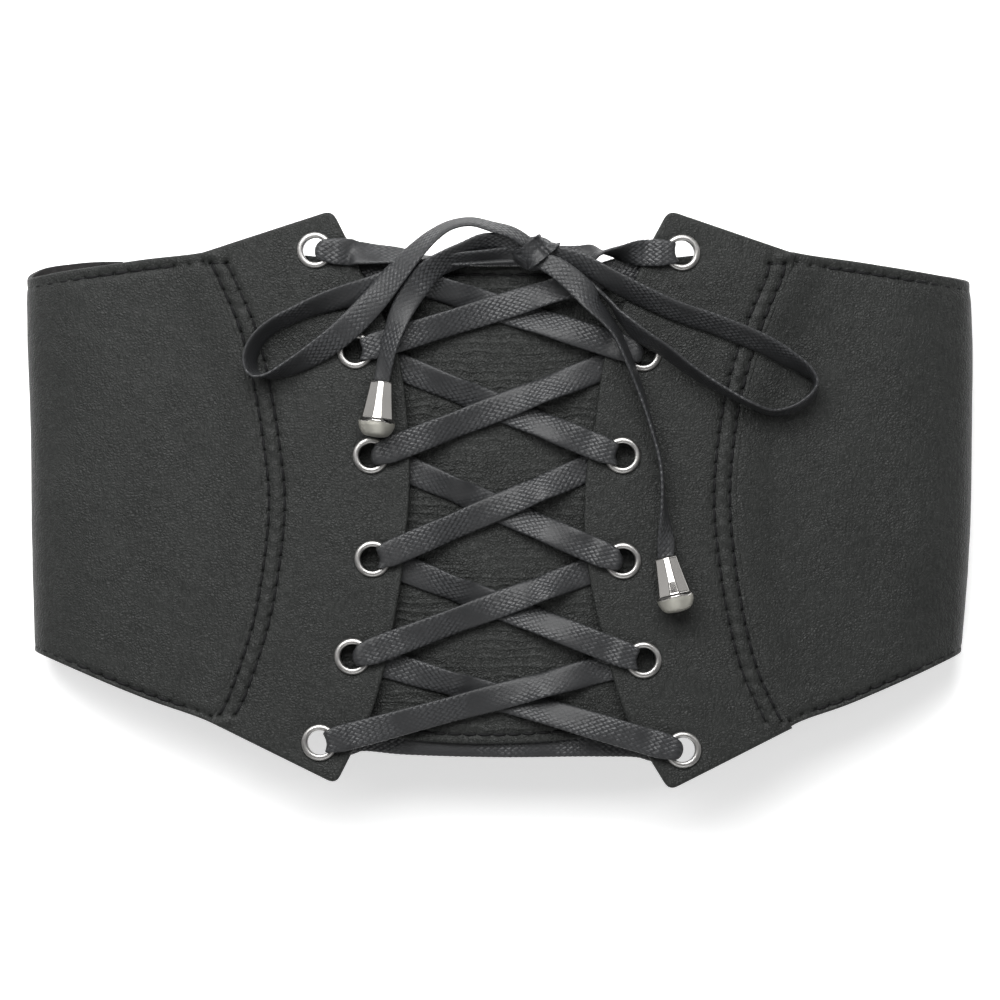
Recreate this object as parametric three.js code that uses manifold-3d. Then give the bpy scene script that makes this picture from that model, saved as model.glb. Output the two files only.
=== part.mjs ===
// A wide lace-up belt, closed into its loop and lying flat on its back.
// The front faces +Z and the belt's top edge faces +Y. Millimetres, +Z up, with the origin
// on the surface that the belt lies on, under its middle. Left and right are the viewer's.

import * as THREE from 'three';
import { mergeVertices } from 'three/addons/utils/BufferGeometryUtils.js';
import Module from 'manifold-3d';

const wasm = await Module();
wasm.setup();

// Driving dimensions
const HALF_WIDTH = 147.6; // middle of the belt to the outside of a side fold
const TAPER = 0.00017; // the belt narrows by this share for each mm down from its middle
const LEATHER = 2; // wall of the flaps and side panels
const PANEL_WALL = 1.5; // wall of the panel behind the lacing
const ELASTIC_WALL = 1.5;
const GAP = 0.3; // clearance between neighbouring pieces
const LAP = 9.3; // width of the double-stitched seam where a flap lies on a side panel
const LEATHER_BACK_END = 119; // where the side panels end on the back
const ELASTIC_END = 126; // where the elastic ends, inside the side panels

const LACE_WIDTH = 8.4;
const LACE_THICKNESS = 1.3;
const LACE_IN_BORE = 6; // the lace is squeezed to this width in an eyelet

const BORE_RADIUS = 3.9;
const BARREL_RADIUS = 4.4;
const FLANGE_RADIUS = 5.75;
const BACK_FLANGE_RADIUS = 5.3;
const FLANGE_TOP = 1.05; // height of an eyelet over the flap
const BACK_FLANGE = 0.4;
const HOLE_RADIUS = 4.7; // hole in the flap round an eyelet's barrel
const ROUND_SIDES = 16;

const TALL = 200; // longer than the belt is tall, for the strips that outlines are cut from

// Arcs of the loop's section from the flat back round a side fold, headings in degrees,
// 180 pointing outwards along the back, 90 up, 0 inwards along the front.
const foldArcs = [
  { radius: 10, from: 180, to: 90, steps: 5 },
  { radius: 10, from: 90, to: 35, steps: 4 },
  { radius: 50, from: 35, to: 8, steps: 4 },
];
const CROWN_HEADING = 8; // where the long front arc takes over

// Heights of the layers over the side panels' outer face
const FLAP_INNER = GAP;
const FLAP_OUTER = FLAP_INNER + LEATHER;
const PANEL_OUTER = -LEATHER - GAP;
const PANEL_INNER = PANEL_OUTER - PANEL_WALL;
const HALF_LACE = LACE_THICKNESS / 2;
// Heights of the middle of the lace over the flaps' outer face
const LACE_ON_LEATHER = GAP + HALF_LACE;
const LACE_ON_RING = FLANGE_TOP + GAP + HALF_LACE;
const LACE_UNDER_FLAP = -LEATHER - GAP - BACK_FLANGE - GAP - HALF_LACE;
const LACE_CROSSING_LOW = LACE_UNDER_FLAP;
const LACE_CROSSING_HIGH = LACE_CROSSING_LOW + LACE_THICKNESS + GAP;
const LACE_BEHIND_PANEL = PANEL_INNER - GAP - HALF_LACE - FLAP_OUTER;

const materials = {
  leather: new THREE.MeshStandardMaterial({ color: 0x37393a, roughness: 0.62, metalness: 0 }),
  elastic: new THREE.MeshStandardMaterial({ color: 0x1d1d1f, roughness: 0.9, metalness: 0 }),
  lace: new THREE.MeshStandardMaterial({ color: 0x46484e, roughness: 0.5, metalness: 0 }),
  eyelet: new THREE.MeshStandardMaterial({ color: 0xc9c4bc, roughness: 0.3, metalness: 1 }),
  bell: new THREE.MeshStandardMaterial({ color: 0x9a9896, roughness: 0.12, metalness: 1 }),
};

const belt = new THREE.Group();

function addPiece(name, geometry, material) {
  const mesh = new THREE.Mesh(geometry, material);
  mesh.name = name;
  belt.add(mesh);
  return mesh;
}

// Solids

function toSolid(geometry) {
  const bare = geometry.clone();
  bare.deleteAttribute('normal');
  bare.deleteAttribute('uv');
  const merged = mergeVertices(bare, 1e-4);
  return new wasm.Manifold(new wasm.Mesh({
    numProp: 3,
    vertProperties: new Float32Array(merged.attributes.position.array),
    triVerts: new Uint32Array(merged.index.array),
  }));
}

function toGeometry(solid) {
  const mesh = solid.getMesh();
  const geometry = new THREE.BufferGeometry();
  geometry.setAttribute('position', new THREE.BufferAttribute(mesh.vertProperties, 3));
  geometry.setIndex(new THREE.BufferAttribute(mesh.triVerts, 1));
  geometry.computeVertexNormals();
  return geometry;
}

// The loop's section

const radians = THREE.MathUtils.degToRad;

// Right-hand normal of a heading in the section's X-Z plane: it points to an arc's centre.
function towardsCentre(heading) {
  return new THREE.Vector2(Math.sin(radians(heading)), -Math.cos(radians(heading)));
}

// Left fold, at a height over the side panels' outer face, from the back to the front.
function foldPoints(height) {
  const end = new THREE.Vector2(foldArcs[0].radius - HALF_WIDTH, 0);
  const points = [];
  for (const arc of foldArcs) {
    const centre = end.clone().addScaledVector(towardsCentre(arc.from), arc.radius);
    for (let step = 0; step <= arc.steps; step++) {
      const heading = THREE.MathUtils.lerp(arc.from, arc.to, step / arc.steps);
      const onArc = centre.clone().addScaledVector(towardsCentre(heading), -arc.radius - height);
      if (step > 0 || points.length === 0) points.push(onArc);
    }
    end.copy(centre).addScaledVector(towardsCentre(arc.to), -arc.radius);
  }
  return { points, end };
}

// The long front arc, centred on X = 0.
const crownStart = foldPoints(0).end;
const CROWN_RADIUS = -crownStart.x / Math.sin(radians(CROWN_HEADING));
const CROWN_CENTRE = crownStart.y - CROWN_RADIUS * Math.cos(radians(CROWN_HEADING));

function crownHeight(x, height) {
  return CROWN_CENTRE + Math.sqrt((CROWN_RADIUS + height) ** 2 - x * x);
}

function crownPoints(fromX, toX, steps, height) {
  const points = [];
  for (let step = 0; step <= steps; step++) {
    const x = THREE.MathUtils.lerp(fromX, toX, step / steps);
    points.push(new THREE.Vector2(x, crownHeight(x, height)));
  }
  return points;
}

// A strip of even wall along Y, from the outer and the inner line of its section.
function strip(outer, inner) {
  const section = new THREE.Shape([...outer, ...inner.reverse()]);
  const geometry = new THREE.ExtrudeGeometry(section, { depth: TALL, bevelEnabled: false });
  geometry.rotateX(Math.PI / 2);
  geometry.translate(0, TALL / 2, 0);
  const positions = geometry.attributes.position;
  for (let i = 0; i < positions.count; i++) {
    positions.setX(i, positions.getX(i) * (1 + TAPER * positions.getY(i)));
  }
  return toSolid(geometry);
}

// An upright block with an outline seen from the front.
function prism(outline, low, high) {
  const geometry = new THREE.ExtrudeGeometry(outline, {
    depth: high - low, bevelEnabled: false, curveSegments: 3,
  });
  geometry.translate(0, 0, low);
  return toSolid(geometry);
}

// Outlines

// Flap's inner edge, beside the lacing.
const innerEdge = [
  { y: 82, left: -48.1, right: 48 },
  { y: 72, left: -43.7, right: 43.7 },
  { y: 60, left: -37.6, right: 38.2 },
  { y: 47, left: -32.2, right: 33.2 },
  { y: 26, left: -28.9, right: 29.8 },
  { y: 6, left: -28.1, right: 26.7 },
  { y: -12, left: -29.4, right: 26.4 },
  { y: -30, left: -31.6, right: 29 },
  { y: -52, left: -35.9, right: 34.4 },
  { y: -69, left: -41.1, right: 40 },
  { y: -80, left: -46.8, right: 46.2 },
];

// Flap's outer edge, lapped over the side panel.
const lapEdge = [
  { y: 72, left: -91.6, right: 91.6 },
  { y: 54, left: -83.7, right: 84 },
  { y: 34, left: -78.8, right: 78 },
  { y: 15, left: -75.8, right: 75 },
  { y: 0, left: -74.4, right: 74.1 },
  { y: -17, left: -75.7, right: 75.4 },
  { y: -38, left: -79.3, right: 78.8 },
  { y: -55, left: -84.6, right: 83.4 },
  { y: -66, left: -88.8, right: 88.6 },
];

// Corners of the flaps, before the tips are rounded.
const flapCorners = [
  { corner: 'topOuter', left: [-93.8, 76.9], right: [92.5, 76.9] },
  { corner: 'topTip', left: [-52.5, 90], right: [52.4, 89.4] },
  { corner: 'bottomTip', left: [-51.3, -88.1], right: [52.9, -90.4] },
  { corner: 'bottomOuter', left: [-91.3, -70.2], right: [91, -71.8] },
];
const TIP_ROUND = 3;

// Top and bottom edges of a side panel's front, by distance from the middle.
const frontEdges = [
  { x: 82, leftTop: 79.4, leftBottom: -73.2, rightTop: 79, rightBottom: -75 },
  { x: 93, leftTop: 77.1, leftBottom: -68.3, rightTop: 76.9, rightBottom: -69.5 },
  { x: 110, leftTop: 75.3, leftBottom: -62.6, rightTop: 74.6, rightBottom: -63.7 },
  { x: 122, leftTop: 73.6, leftBottom: -58, rightTop: 72.8, rightBottom: -58.8 },
  { x: 136, leftTop: 71.7, leftBottom: -52.1, rightTop: 70.7, rightBottom: -52.9 },
  { x: 155, leftTop: 68.5, leftBottom: -44, rightTop: 67.8, rightBottom: -44.2 },
];

// The same on the back, which lies a little turned and shows past the top left edge.
const backEdges = [
  { x: 110, leftTop: 77.6, leftBottom: -51, rightTop: 74, rightBottom: -54.5 },
  { x: 128, leftTop: 76.2, leftBottom: -49.5, rightTop: 72.8, rightBottom: -52 },
  { x: 136, leftTop: 75.4, leftBottom: -48.5, rightTop: 71.8, rightBottom: -50 },
  { x: 144.6, leftTop: 74, leftBottom: -47, rightTop: 70.4, rightBottom: -47.5 },
  { x: 149.3, leftTop: 69.4, leftBottom: -46, rightTop: 68.9, rightBottom: -46.2 },
  { x: 155, leftTop: 64, leftBottom: -44, rightTop: 67, rightBottom: -44.2 },
];

const elasticCorners = [
  [-ELASTIC_END, 76.4], [ELASTIC_END, 72.4], [ELASTIC_END, -50.6], [-ELASTIC_END, -46.6],
];

// The panel behind the lacing: each long edge is a parabola, rising away from its middle.
const panelEdges = {
  halfWidth: 80,
  top: { middle: 0, height: 71.6, rise: 0.00174, limit: 78.5 },
  bottom: { middle: -3.75, height: -76.4, rise: 0.002, limit: 0 },
};

function cornerPoint(name, side) {
  const [x, y] = flapCorners.find((row) => row.corner === name)[side];
  return new THREE.Vector2(x, y);
}

function edgePoints(rows, side, shift = 0) {
  return rows.map((row) => new THREE.Vector2(row[side] + shift, row.y));
}

function lineToRounded(shape, corner, next, radius) {
  const towards = next.clone().sub(corner).setLength(radius).add(corner);
  const before = shape.currentPoint.clone().sub(corner).setLength(radius).add(corner);
  shape.lineTo(before.x, before.y);
  shape.quadraticCurveTo(corner.x, corner.y, towards.x, towards.y);
}

function flapOutline(side) {
  const start = cornerPoint('topOuter', side);
  const inner = edgePoints(innerEdge, side);
  const lap = edgePoints(lapEdge, side).reverse();
  const bottomOuter = cornerPoint('bottomOuter', side);
  const shape = new THREE.Shape();
  shape.moveTo(start.x, start.y);
  lineToRounded(shape, cornerPoint('topTip', side), inner[0], TIP_ROUND);
  shape.lineTo(inner[0].x, inner[0].y);
  shape.splineThru(inner.slice(1));
  lineToRounded(shape, cornerPoint('bottomTip', side), bottomOuter, TIP_ROUND);
  shape.lineTo(bottomOuter.x, bottomOuter.y);
  shape.lineTo(lap[0].x, lap[0].y);
  shape.splineThru(lap.slice(1));
  return shape;
}

// Outline between the top and bottom edges of a table, and the line that closes it.
function sideOutline(rows, side, closing) {
  const outward = side === 'left' ? -1 : 1;
  const top = rows.map((row) => new THREE.Vector2(outward * row.x, row[`${side}Top`]));
  const bottom = rows.map((row) => new THREE.Vector2(outward * row.x, row[`${side}Bottom`]));
  return new THREE.Shape([...top, ...bottom.reverse(), ...closing]);
}

function panelOutline() {
  const { halfWidth, top, bottom } = panelEdges;
  const edge = (x, line) => line.height + line.rise * (x - line.middle) ** 2;
  const steps = 14;
  const upper = [];
  const lower = [];
  for (let step = 0; step <= steps; step++) {
    const x = THREE.MathUtils.lerp(-halfWidth, halfWidth, step / steps);
    upper.push(new THREE.Vector2(x, Math.min(edge(x, top), top.limit)));
    lower.push(new THREE.Vector2(x, Math.min(edge(x, bottom), bottom.limit)));
  }
  return new THREE.Shape([...upper, ...lower.reverse()]);
}

// Leather, elastic and eyelets

const eyelets = {
  left: [[-57.8, 78.1], [-45.2, 46.7], [-40.3, 13.9], [-39.8, -18.4], [-46.1, -48.9], [-56.4, -75.8]],
  right: [[56.9, 77.3], [44.8, 45.9], [38.3, 13.9], [38.4, -19], [44.8, -50], [57.2, -78.1]],
};

// Places a piece modelled round Z on the flaps' outer face, square to it.
function seatOnFlap(object, x, y) {
  object.position.set(x, y, crownHeight(x, FLAP_OUTER));
  object.rotation.y = Math.asin(x / (CROWN_RADIUS + FLAP_OUTER));
  object.updateMatrix();
}

function punch(x, y) {
  const rod = new THREE.CylinderGeometry(HOLE_RADIUS, HOLE_RADIUS, 4 * LEATHER, ROUND_SIDES);
  const cutter = new THREE.Mesh(rod);
  cutter.geometry.rotateX(Math.PI / 2);
  seatOnFlap(cutter, x, y);
  return toSolid(cutter.geometry.applyMatrix4(cutter.matrix));
}

function buildFlap(side) {
  const inward = side === 'left' ? 1 : -1;
  const outer = crownPoints(-97 * inward, -23 * inward, 6, FLAP_OUTER);
  const inner = crownPoints(-97 * inward, -23 * inward, 6, FLAP_INNER);
  let flap = strip(...(inward > 0 ? [outer, inner] : [outer.reverse(), inner.reverse()]));
  flap = flap.intersect(prism(flapOutline(side), 0, TALL));
  for (const [x, y] of eyelets[side]) flap = flap.subtract(punch(x, y));
  addPiece(`flap_${side}`, toGeometry(flap), materials.leather);
}

function buildSide(side) {
  const mirror = side === 'left' ? 1 : -1;
  const section = (height) => {
    const back = new THREE.Vector2(-LEATHER_BACK_END, -height);
    const points = [back, ...foldPoints(height).points, ...crownPoints(-105, -60, 3, height)];
    points.forEach((point) => point.setX(point.x * mirror));
    return mirror > 0 ? points : points.reverse();
  };
  const wall = strip(section(0), section(-LEATHER));
  const underFlap = edgePoints(lapEdge, side, mirror * LAP).reverse();
  const foldHeight = foldArcs[0].radius;
  const front = wall.intersect(prism(sideOutline(frontEdges, side, underFlap), foldHeight, TALL));
  const back = wall.intersect(prism(sideOutline(backEdges, side, []), -1, foldHeight));
  addPiece(`side_${side}`, toGeometry(front.add(back)), materials.leather);
}

function buildPanel() {
  const halfWidth = panelEdges.halfWidth + 2;
  const outer = crownPoints(-halfWidth, halfWidth, 12, PANEL_OUTER);
  const inner = crownPoints(-halfWidth, halfWidth, 12, PANEL_INNER);
  const panel = strip(outer, inner).intersect(prism(panelOutline(), 0, TALL));
  addPiece('modesty_panel', toGeometry(panel), materials.leather);
}

// The elastic lies on the surface between the side panels and steps up to run inside them.
function buildBackBand() {
  const inside = LEATHER + GAP;
  const line = (lift) => [
    [-ELASTIC_END - 3, inside], [-LEATHER_BACK_END + 1.5, inside], [-LEATHER_BACK_END + 9, 0],
    [LEATHER_BACK_END - 9, 0], [LEATHER_BACK_END - 1.5, inside], [ELASTIC_END + 3, inside],
  ].map(([x, z]) => new THREE.Vector2(x, z + lift));
  const outline = new THREE.Shape(elasticCorners.map(([x, y]) => new THREE.Vector2(x, y)));
  const band = strip(line(ELASTIC_WALL), line(0)).intersect(prism(outline, -1, foldArcs[0].radius));
  addPiece('back_band', toGeometry(band), materials.elastic);
}

function buildEyelets() {
  const backTop = -LEATHER - 0.25;
  const profile = [
    [BORE_RADIUS, backTop - BACK_FLANGE], [BACK_FLANGE_RADIUS, backTop - BACK_FLANGE],
    [BACK_FLANGE_RADIUS, backTop], [BARREL_RADIUS, backTop], [BARREL_RADIUS, 0.2],
    [FLANGE_RADIUS, 0.2], [5.5, 0.75], [4.6, FLANGE_TOP], [BORE_RADIUS, 0.6],
    [BORE_RADIUS, backTop - BACK_FLANGE],
  ].map(([radius, height]) => new THREE.Vector2(radius, height));
  for (const side of ['left', 'right']) {
    eyelets[side].forEach(([x, y], index) => {
      const ring = new THREE.LatheGeometry(profile, ROUND_SIDES);
      ring.rotateX(Math.PI / 2);
      seatOnFlap(addPiece(`eyelet_${side}_${index + 1}`, ring, materials.eyelet), x, y);
    });
  }
}

// Lace: a flat ribbon swept through stations, each with a place, the direction of its width
// and its width.

const laceSection = [[0.5, 0], [0.43, 0.5], [-0.43, 0.5], [-0.5, 0], [-0.43, -0.5], [0.43, -0.5]];

function ribbon(stations) {
  const last = stations.length - 1;
  const sides = laceSection.length;
  const positions = [];
  stations.forEach(({ place, across, width }, i) => {
    const before = stations[Math.max(i - 1, 0)].place;
    const after = stations[Math.min(i + 1, last)].place;
    const along = after.clone().sub(before).normalize();
    const normal = along.clone().cross(across).normalize();
    const edge = normal.clone().cross(along);
    for (const [u, v] of laceSection) {
      const corner = place.clone().addScaledVector(edge, u * width);
      corner.addScaledVector(normal, v * LACE_THICKNESS);
      positions.push(corner.x, corner.y, corner.z);
    }
  });
  const index = [];
  for (let i = 0; i < last; i++) {
    for (let k = 0; k < sides; k++) {
      const a = i * sides + k;
      const b = i * sides + ((k + 1) % sides);
      index.push(a, b, b + sides, a, b + sides, a + sides);
    }
  }
  for (let k = 1; k < sides - 1; k++) {
    const end = last * sides;
    index.push(0, k + 1, k, end, end + k, end + k + 1);
  }
  const geometry = new THREE.BufferGeometry();
  geometry.setAttribute('position', new THREE.Float32BufferAttribute(positions, 3));
  geometry.setIndex(index);
  geometry.computeVertexNormals();
  return geometry;
}

// A point over the flaps' outer face.
function overFlap(x, y, lift) {
  return new THREE.Vector3(x, y, crownHeight(x, FLAP_OUTER + lift));
}

function crownNormal(x) {
  const sine = x / (CROWN_RADIUS + FLAP_OUTER);
  return new THREE.Vector3(sine, 0, Math.sqrt(1 - sine * sine));
}

// Stations from a table of x, y, lift over the flaps, lean of the lace's width from the
// surface in degrees, and width where it isn't the full one.
function freeStations(rows, sign = 1) {
  return rows.map(([x, y, lift, lean, width = LACE_WIDTH], i) => {
    const before = rows[Math.max(i - 1, 0)];
    const after = rows[Math.min(i + 1, rows.length - 1)];
    const left = new THREE.Vector3(before[1] - after[1], after[0] - before[0], 0).normalize();
    const up = crownNormal(x);
    const across = left.multiplyScalar(Math.cos(radians(lean))).addScaledVector(up, Math.sin(radians(lean)));
    return { place: overFlap(x, y, lift), across: across.multiplyScalar(sign), width };
  });
}

const BORE_SHIFT = 1.2; // the lace hugs the bore's inner side
const BEND = 1.05; // radius of the lace's middle where it turns in and out of a bore

// Direction in the front face from one eyelet's lace to another's, and their distance.
function strand(from, to) {
  const run = new THREE.Vector2(to.x - from.x, to.y - from.y);
  return { length: run.length(), direction: run.clone().normalize() };
}

function inBore([x, y]) {
  return new THREE.Vector2(x - Math.sign(x) * BORE_SHIFT, y);
}

// Up through an eyelet: in from `incoming` under the flap, out along `outgoing` over it.
function throughEyelet(bore, incoming, outgoing, sign, under) {
  const normal = crownNormal(bore.x);
  const tangent = new THREE.Vector3(normal.z, 0, -normal.x);
  const origin = overFlap(bore.x, bore.y, 0);
  const at = (direction, distance, lift) => origin.clone()
    .addScaledVector(tangent, direction.x * distance)
    .add(new THREE.Vector3(0, direction.y * distance, 0))
    .addScaledVector(normal, lift);
  const leftOf = (direction) => new THREE.Vector3(-direction.y, direction.x, 0);
  const acrossIn = leftOf(incoming).multiplyScalar(sign);
  const acrossOut = leftOf(outgoing).multiplyScalar(-sign);
  const acrossBore = acrossIn.clone().add(acrossOut).normalize();
  const back = incoming.clone().negate();
  const turn = BEND * (1 - Math.SQRT1_2);
  const rows = [
    [back, BEND + 5, under, acrossIn, LACE_WIDTH],
    [back, BEND + 1, under, acrossIn, 6.8],
    [back, BEND, under, acrossIn, 6.4],
    [back, turn, under + turn, acrossBore, LACE_IN_BORE],
    [back, 0, under + BEND, acrossBore, LACE_IN_BORE],
    [outgoing, 0, LACE_ON_RING - BEND, acrossBore, LACE_IN_BORE],
    [outgoing, turn, LACE_ON_RING - turn, acrossBore, 6.4],
    [outgoing, BEND, LACE_ON_RING, acrossOut, 6.8],
    [outgoing, BEND + 2.5, LACE_ON_RING, acrossOut, 8],
    [outgoing, BEND + 4.7, LACE_ON_RING, acrossOut, LACE_WIDTH],
    [outgoing, BEND + 8, LACE_ON_LEATHER, acrossOut, LACE_WIDTH],
  ];
  return rows.map(([direction, distance, lift, across, width]) => (
    { place: at(direction, distance, lift), across, width }));
}

const CROSSING_REACH = 15; // two crossing strands keep their heights this far each way
const FLAP_REACH = 15; // from a bore to just past the flap's inner edge

// The middle of a strand, over the near flap's edge, past its crossing and under the far flap.
function strandMiddle(from, to, crossingAt, crossingLift, sign) {
  const { length, direction } = strand(from, to);
  const across = new THREE.Vector3(-direction.y, direction.x, 0).multiplyScalar(sign);
  const rows = [
    [FLAP_REACH, LACE_ON_LEATHER],
    [crossingAt - CROSSING_REACH, crossingLift],
    [crossingAt, crossingLift],
    [crossingAt + CROSSING_REACH, crossingLift],
    [length - FLAP_REACH, LACE_UNDER_FLAP],
  ];
  return rows.map(([distance, lift]) => ({
    place: overFlap(from.x + direction.x * distance, from.y + direction.y * distance, lift),
    across,
    width: LACE_WIDTH,
  }));
}

// How far along the strand from a to b it meets the strand from c to d.
function crossingDistance(a, b, c, d) {
  const one = strand(a, b).direction;
  const other = strand(c, d).direction;
  const between = c.clone().sub(a);
  return between.cross(other) / one.cross(other);
}

// One half of the lace, from the middle of the bottom bar up through six eyelets. A strand that
// rises towards the viewer's right passes over the other one at their crossing.
function laceHalf(startSide, sign, topRows) {
  const sides = startSide === 'left' ? ['left', 'right'] : ['right', 'left'];
  const bores = [5, 4, 3, 2, 1, 0].map((row, i) => inBore(eyelets[sides[i % 2]][row]));
  const partners = [5, 4, 3, 2, 1, 0].map((row, i) => inBore(eyelets[sides[(i + 1) % 2]][row]));
  const toMiddle = bores[0].clone().add(partners[0]).multiplyScalar(0.5);
  const stations = [];
  let incoming = strand(toMiddle, bores[0]).direction;
  let side = sign;
  bores.forEach((bore, i) => {
    const under = i === 0 ? LACE_BEHIND_PANEL : LACE_UNDER_FLAP;
    const target = i < 5 ? bores[i + 1] : new THREE.Vector2(topRows[0][0], topRows[0][1]);
    const outgoing = strand(bore, target).direction;
    stations.push(...throughEyelet(bore, incoming, outgoing, side, under));
    side = -side;
    if (i < 5) {
      const meets = crossingDistance(bore, target, partners[i], partners[i + 1]);
      const crossingLift = sides[i % 2] === 'left' ? LACE_CROSSING_HIGH : LACE_CROSSING_LOW;
      stations.push(...strandMiddle(bore, target, meets, crossingLift, side));
    }
    incoming = outgoing;
  });
  stations.push(...freeStations(topRows, side));
  return stations;
}

// The two ends at the top: x, y, lift, lean, width.
const topBars = {
  right: [
    [43.2, 77.5, 1.2, -6], [40.2, 77.3, 1.2, -40], [37, 77.4, 1.3, -66], [33.7, 77.5, 1.2, -84],
    [31, 77.5, 1, -104], [28.6, 77.5, 0.7, -140, 8], [25.6, 77.4, 0.5, -164, 7.2],
    [20, 77.2, 0.5, -175, 6.2], [14, 77, 0.7, -178, 5],
  ],
  left: [
    [-43, 77.8, 0.9, 0], [-35, 77.6, -0.2, 0], [-20, 77.3, -0.4, 0], [-6, 77, -0.4, 0, 7.5],
    [1, 76.8, -0.3, 0, 5.5], [8, 76.8, 0, 0, 5],
  ],
};

// The bow: x, y, lift, lean, width.
const bow = {
  loop_left: [
    [10, 79, 4, -40, 5], [4, 83.5, 5.5, -60, 5.6], [-2, 85.5, 5.2, -75], [-9.4, 86.8, 5, -84],
    [-15.5, 85.3, 5, -79], [-21, 81.8, 5.1, -62], [-27, 76.8, 5.1, -42], [-32.8, 70.3, 4.9, -27],
    [-38.4, 63.1, 4.6, -20], [-44.7, 56.3, 4.1, -24], [-51.9, 49.9, 4, -30], [-59.2, 44.9, 3.6, -42],
    [-66, 41.2, 4.3, -60], [-72.5, 38.9, 4.8, -85], [-76.5, 39.4, 4.8, -103], [-78.1, 42.6, 4.8, -113],
    [-77.4, 46.8, 4.7, -117], [-74.6, 51.2, 4.6, -117], [-70, 54.9, 4.5, -118], [-63.5, 58.1, 4.3, -121],
    [-56, 61.2, 3.9, -133], [-48, 63.6, 3, -149], [-40.6, 66, 2, -165], [-33, 69.2, 1.4, -178],
    [-24, 72.8, 1.4, -180], [-13, 75.4, 1.3, -180], [-3, 76.4, 1.3, -180, 7], [7, 77, 1.6, -180, 5],
  ],
  tail_left: [
    [9, 77.4, 3.2, 0, 5], [1.5, 78.3, 3.4, -5, 5], [-6.3, 78.6, 3.6, -8, 7.6], [-14.1, 75.4, 3.7, -10],
    [-20.9, 71.2, 3.9, -14], [-26.1, 66, 4.5, -8, 8], [-30.3, 59.4, 4.5, 12, 7.6],
    [-33.3, 51.8, 5, 34, 7.2], [-35.3, 44.8, 5.1, 36, 6.4], [-36.7, 37.8, 5, 16, 5.2],
  ],
  loop_right: [
    [12, 77.6, 3.4, 10, 4.5], [18, 77, 3.7, 15, 4.5], [25, 74.2, 3.7, 28, 6], [38.1, 66.8, 3.7, 42],
    [53.4, 59.6, 3.8, 45], [67.8, 54.6, 3.8, 45], [79.4, 50, 4, 47], [84.4, 47.6, 3.8, 50],
    [89.5, 44.6, 2.8, 55], [96, 40.4, 2.3, 72], [98.8, 37, 2.4, 92], [98.2, 33.4, 2.4, 106],
    [95.2, 30.4, 2.4, 108], [90, 28, 2.5, 104], [84.5, 27.6, 2.7, 98], [78, 30, 4.8, 95],
    [69.4, 34.4, 4.8, 100], [59.9, 40.1, 5.2, 108], [51.1, 46.6, 6.2, 114], [45.5, 50.1, 6.9, 118],
    [40.7, 53.9, 6.8, 114], [37, 57.8, 5.4, 100, 7.8], [34.1, 61.8, 4.4, 90, 6.8],
    [30.6, 65.5, 2.7, 87, 3.4], [27.4, 68.4, 2.6, 86, 3.2], [22, 72, 2.9, 82, 3], [15, 75, 3.4, 70, 3.6],
  ],
  tail_right: [
    [10.5, 75.5, 5, 0, 5], [17.6, 72.2, 6.4, -5, 6.6], [23.8, 67.2, 7, -10, 7.6],
    [26.9, 63.9, 7.1, -24, 7.8], [29.2, 60.6, 6.8, -48, 8], [33, 56.4, 6.4, -60, 8],
    [36.4, 51.6, 6.4, -68, 7.6], [39.7, 44.4, 6.8, -70, 7.6], [43.8, 33.8, 5.6, -76],
    [47.4, 21.9, 4.8, -83], [50, 10.9, 4.7, -85], [50.8, 1, 4.7, -80], [51.4, -8, 4.6, -58, 7.4],
    [51.7, -13.5, 4.8, -25, 6], [51.6, -17.2, 5, 0, 5],
  ],
};

// Knot: a rounded lump with the wrapping turn of lace slanting across it.
const KNOT = { x: 10.9, y: 76.9, lift: 2.3, length: 15, height: 12.4, depth: 9.2 };
const WRAP = { width: 7, slant: 32, proud: 0.7 };

function lump(grow) {
  const geometry = new THREE.SphereGeometry(0.5, 16, 10);
  geometry.rotateX(Math.PI / 2);
  geometry.scale(KNOT.length + grow, KNOT.height + grow, KNOT.depth + grow);
  return geometry;
}

function knotSolid(clearance) {
  const band = new THREE.BoxGeometry(WRAP.width + clearance, 4 * KNOT.height, 4 * KNOT.depth);
  band.rotateZ(-radians(WRAP.slant));
  const wrap = toSolid(lump(2 * WRAP.proud + clearance)).intersect(toSolid(band));
  const { x, y, z } = overFlap(KNOT.x, KNOT.y, KNOT.lift);
  return toSolid(lump(clearance)).add(wrap).translate([x, y, z]);
}

function buildLace() {
  const clearOfKnot = knotSolid(2 * GAP);
  const trimmed = (stations) => toGeometry(toSolid(ribbon(stations)).subtract(clearOfKnot));
  const towardsLeftTop = laceHalf('right', -1, topBars.left);
  const towardsRightTop = laceHalf('left', 1, topBars.right);
  const whole = [...towardsLeftTop.reverse(), ...towardsRightTop];
  addPiece('lacing', trimmed(whole), materials.lace);
  addPiece('knot', toGeometry(knotSolid(0)), materials.lace);
  for (const [name, rows] of Object.entries(bow)) {
    addPiece(name, trimmed(freeStations(rows)), materials.lace);
  }
}

// Bells: eight flat sides, widest near the open end, with a chamfered end.
const BELL_SIDES = 8;
const bellProfile = [[0, 0], [3.7, 0], [4, 0.8], [5.9, 11.8], [4.5, 16.6], [3.9, 17.4], [0, 17.4]];
const bells = [
  { name: 'bell_left', top: [-36.9, 36.9, 5], bottom: [-38.8, 19.6, 6.4] },
  { name: 'bell_right', top: [51.6, -17.9, 5.2], bottom: [55.4, -34.2, 6.5] },
];

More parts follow.
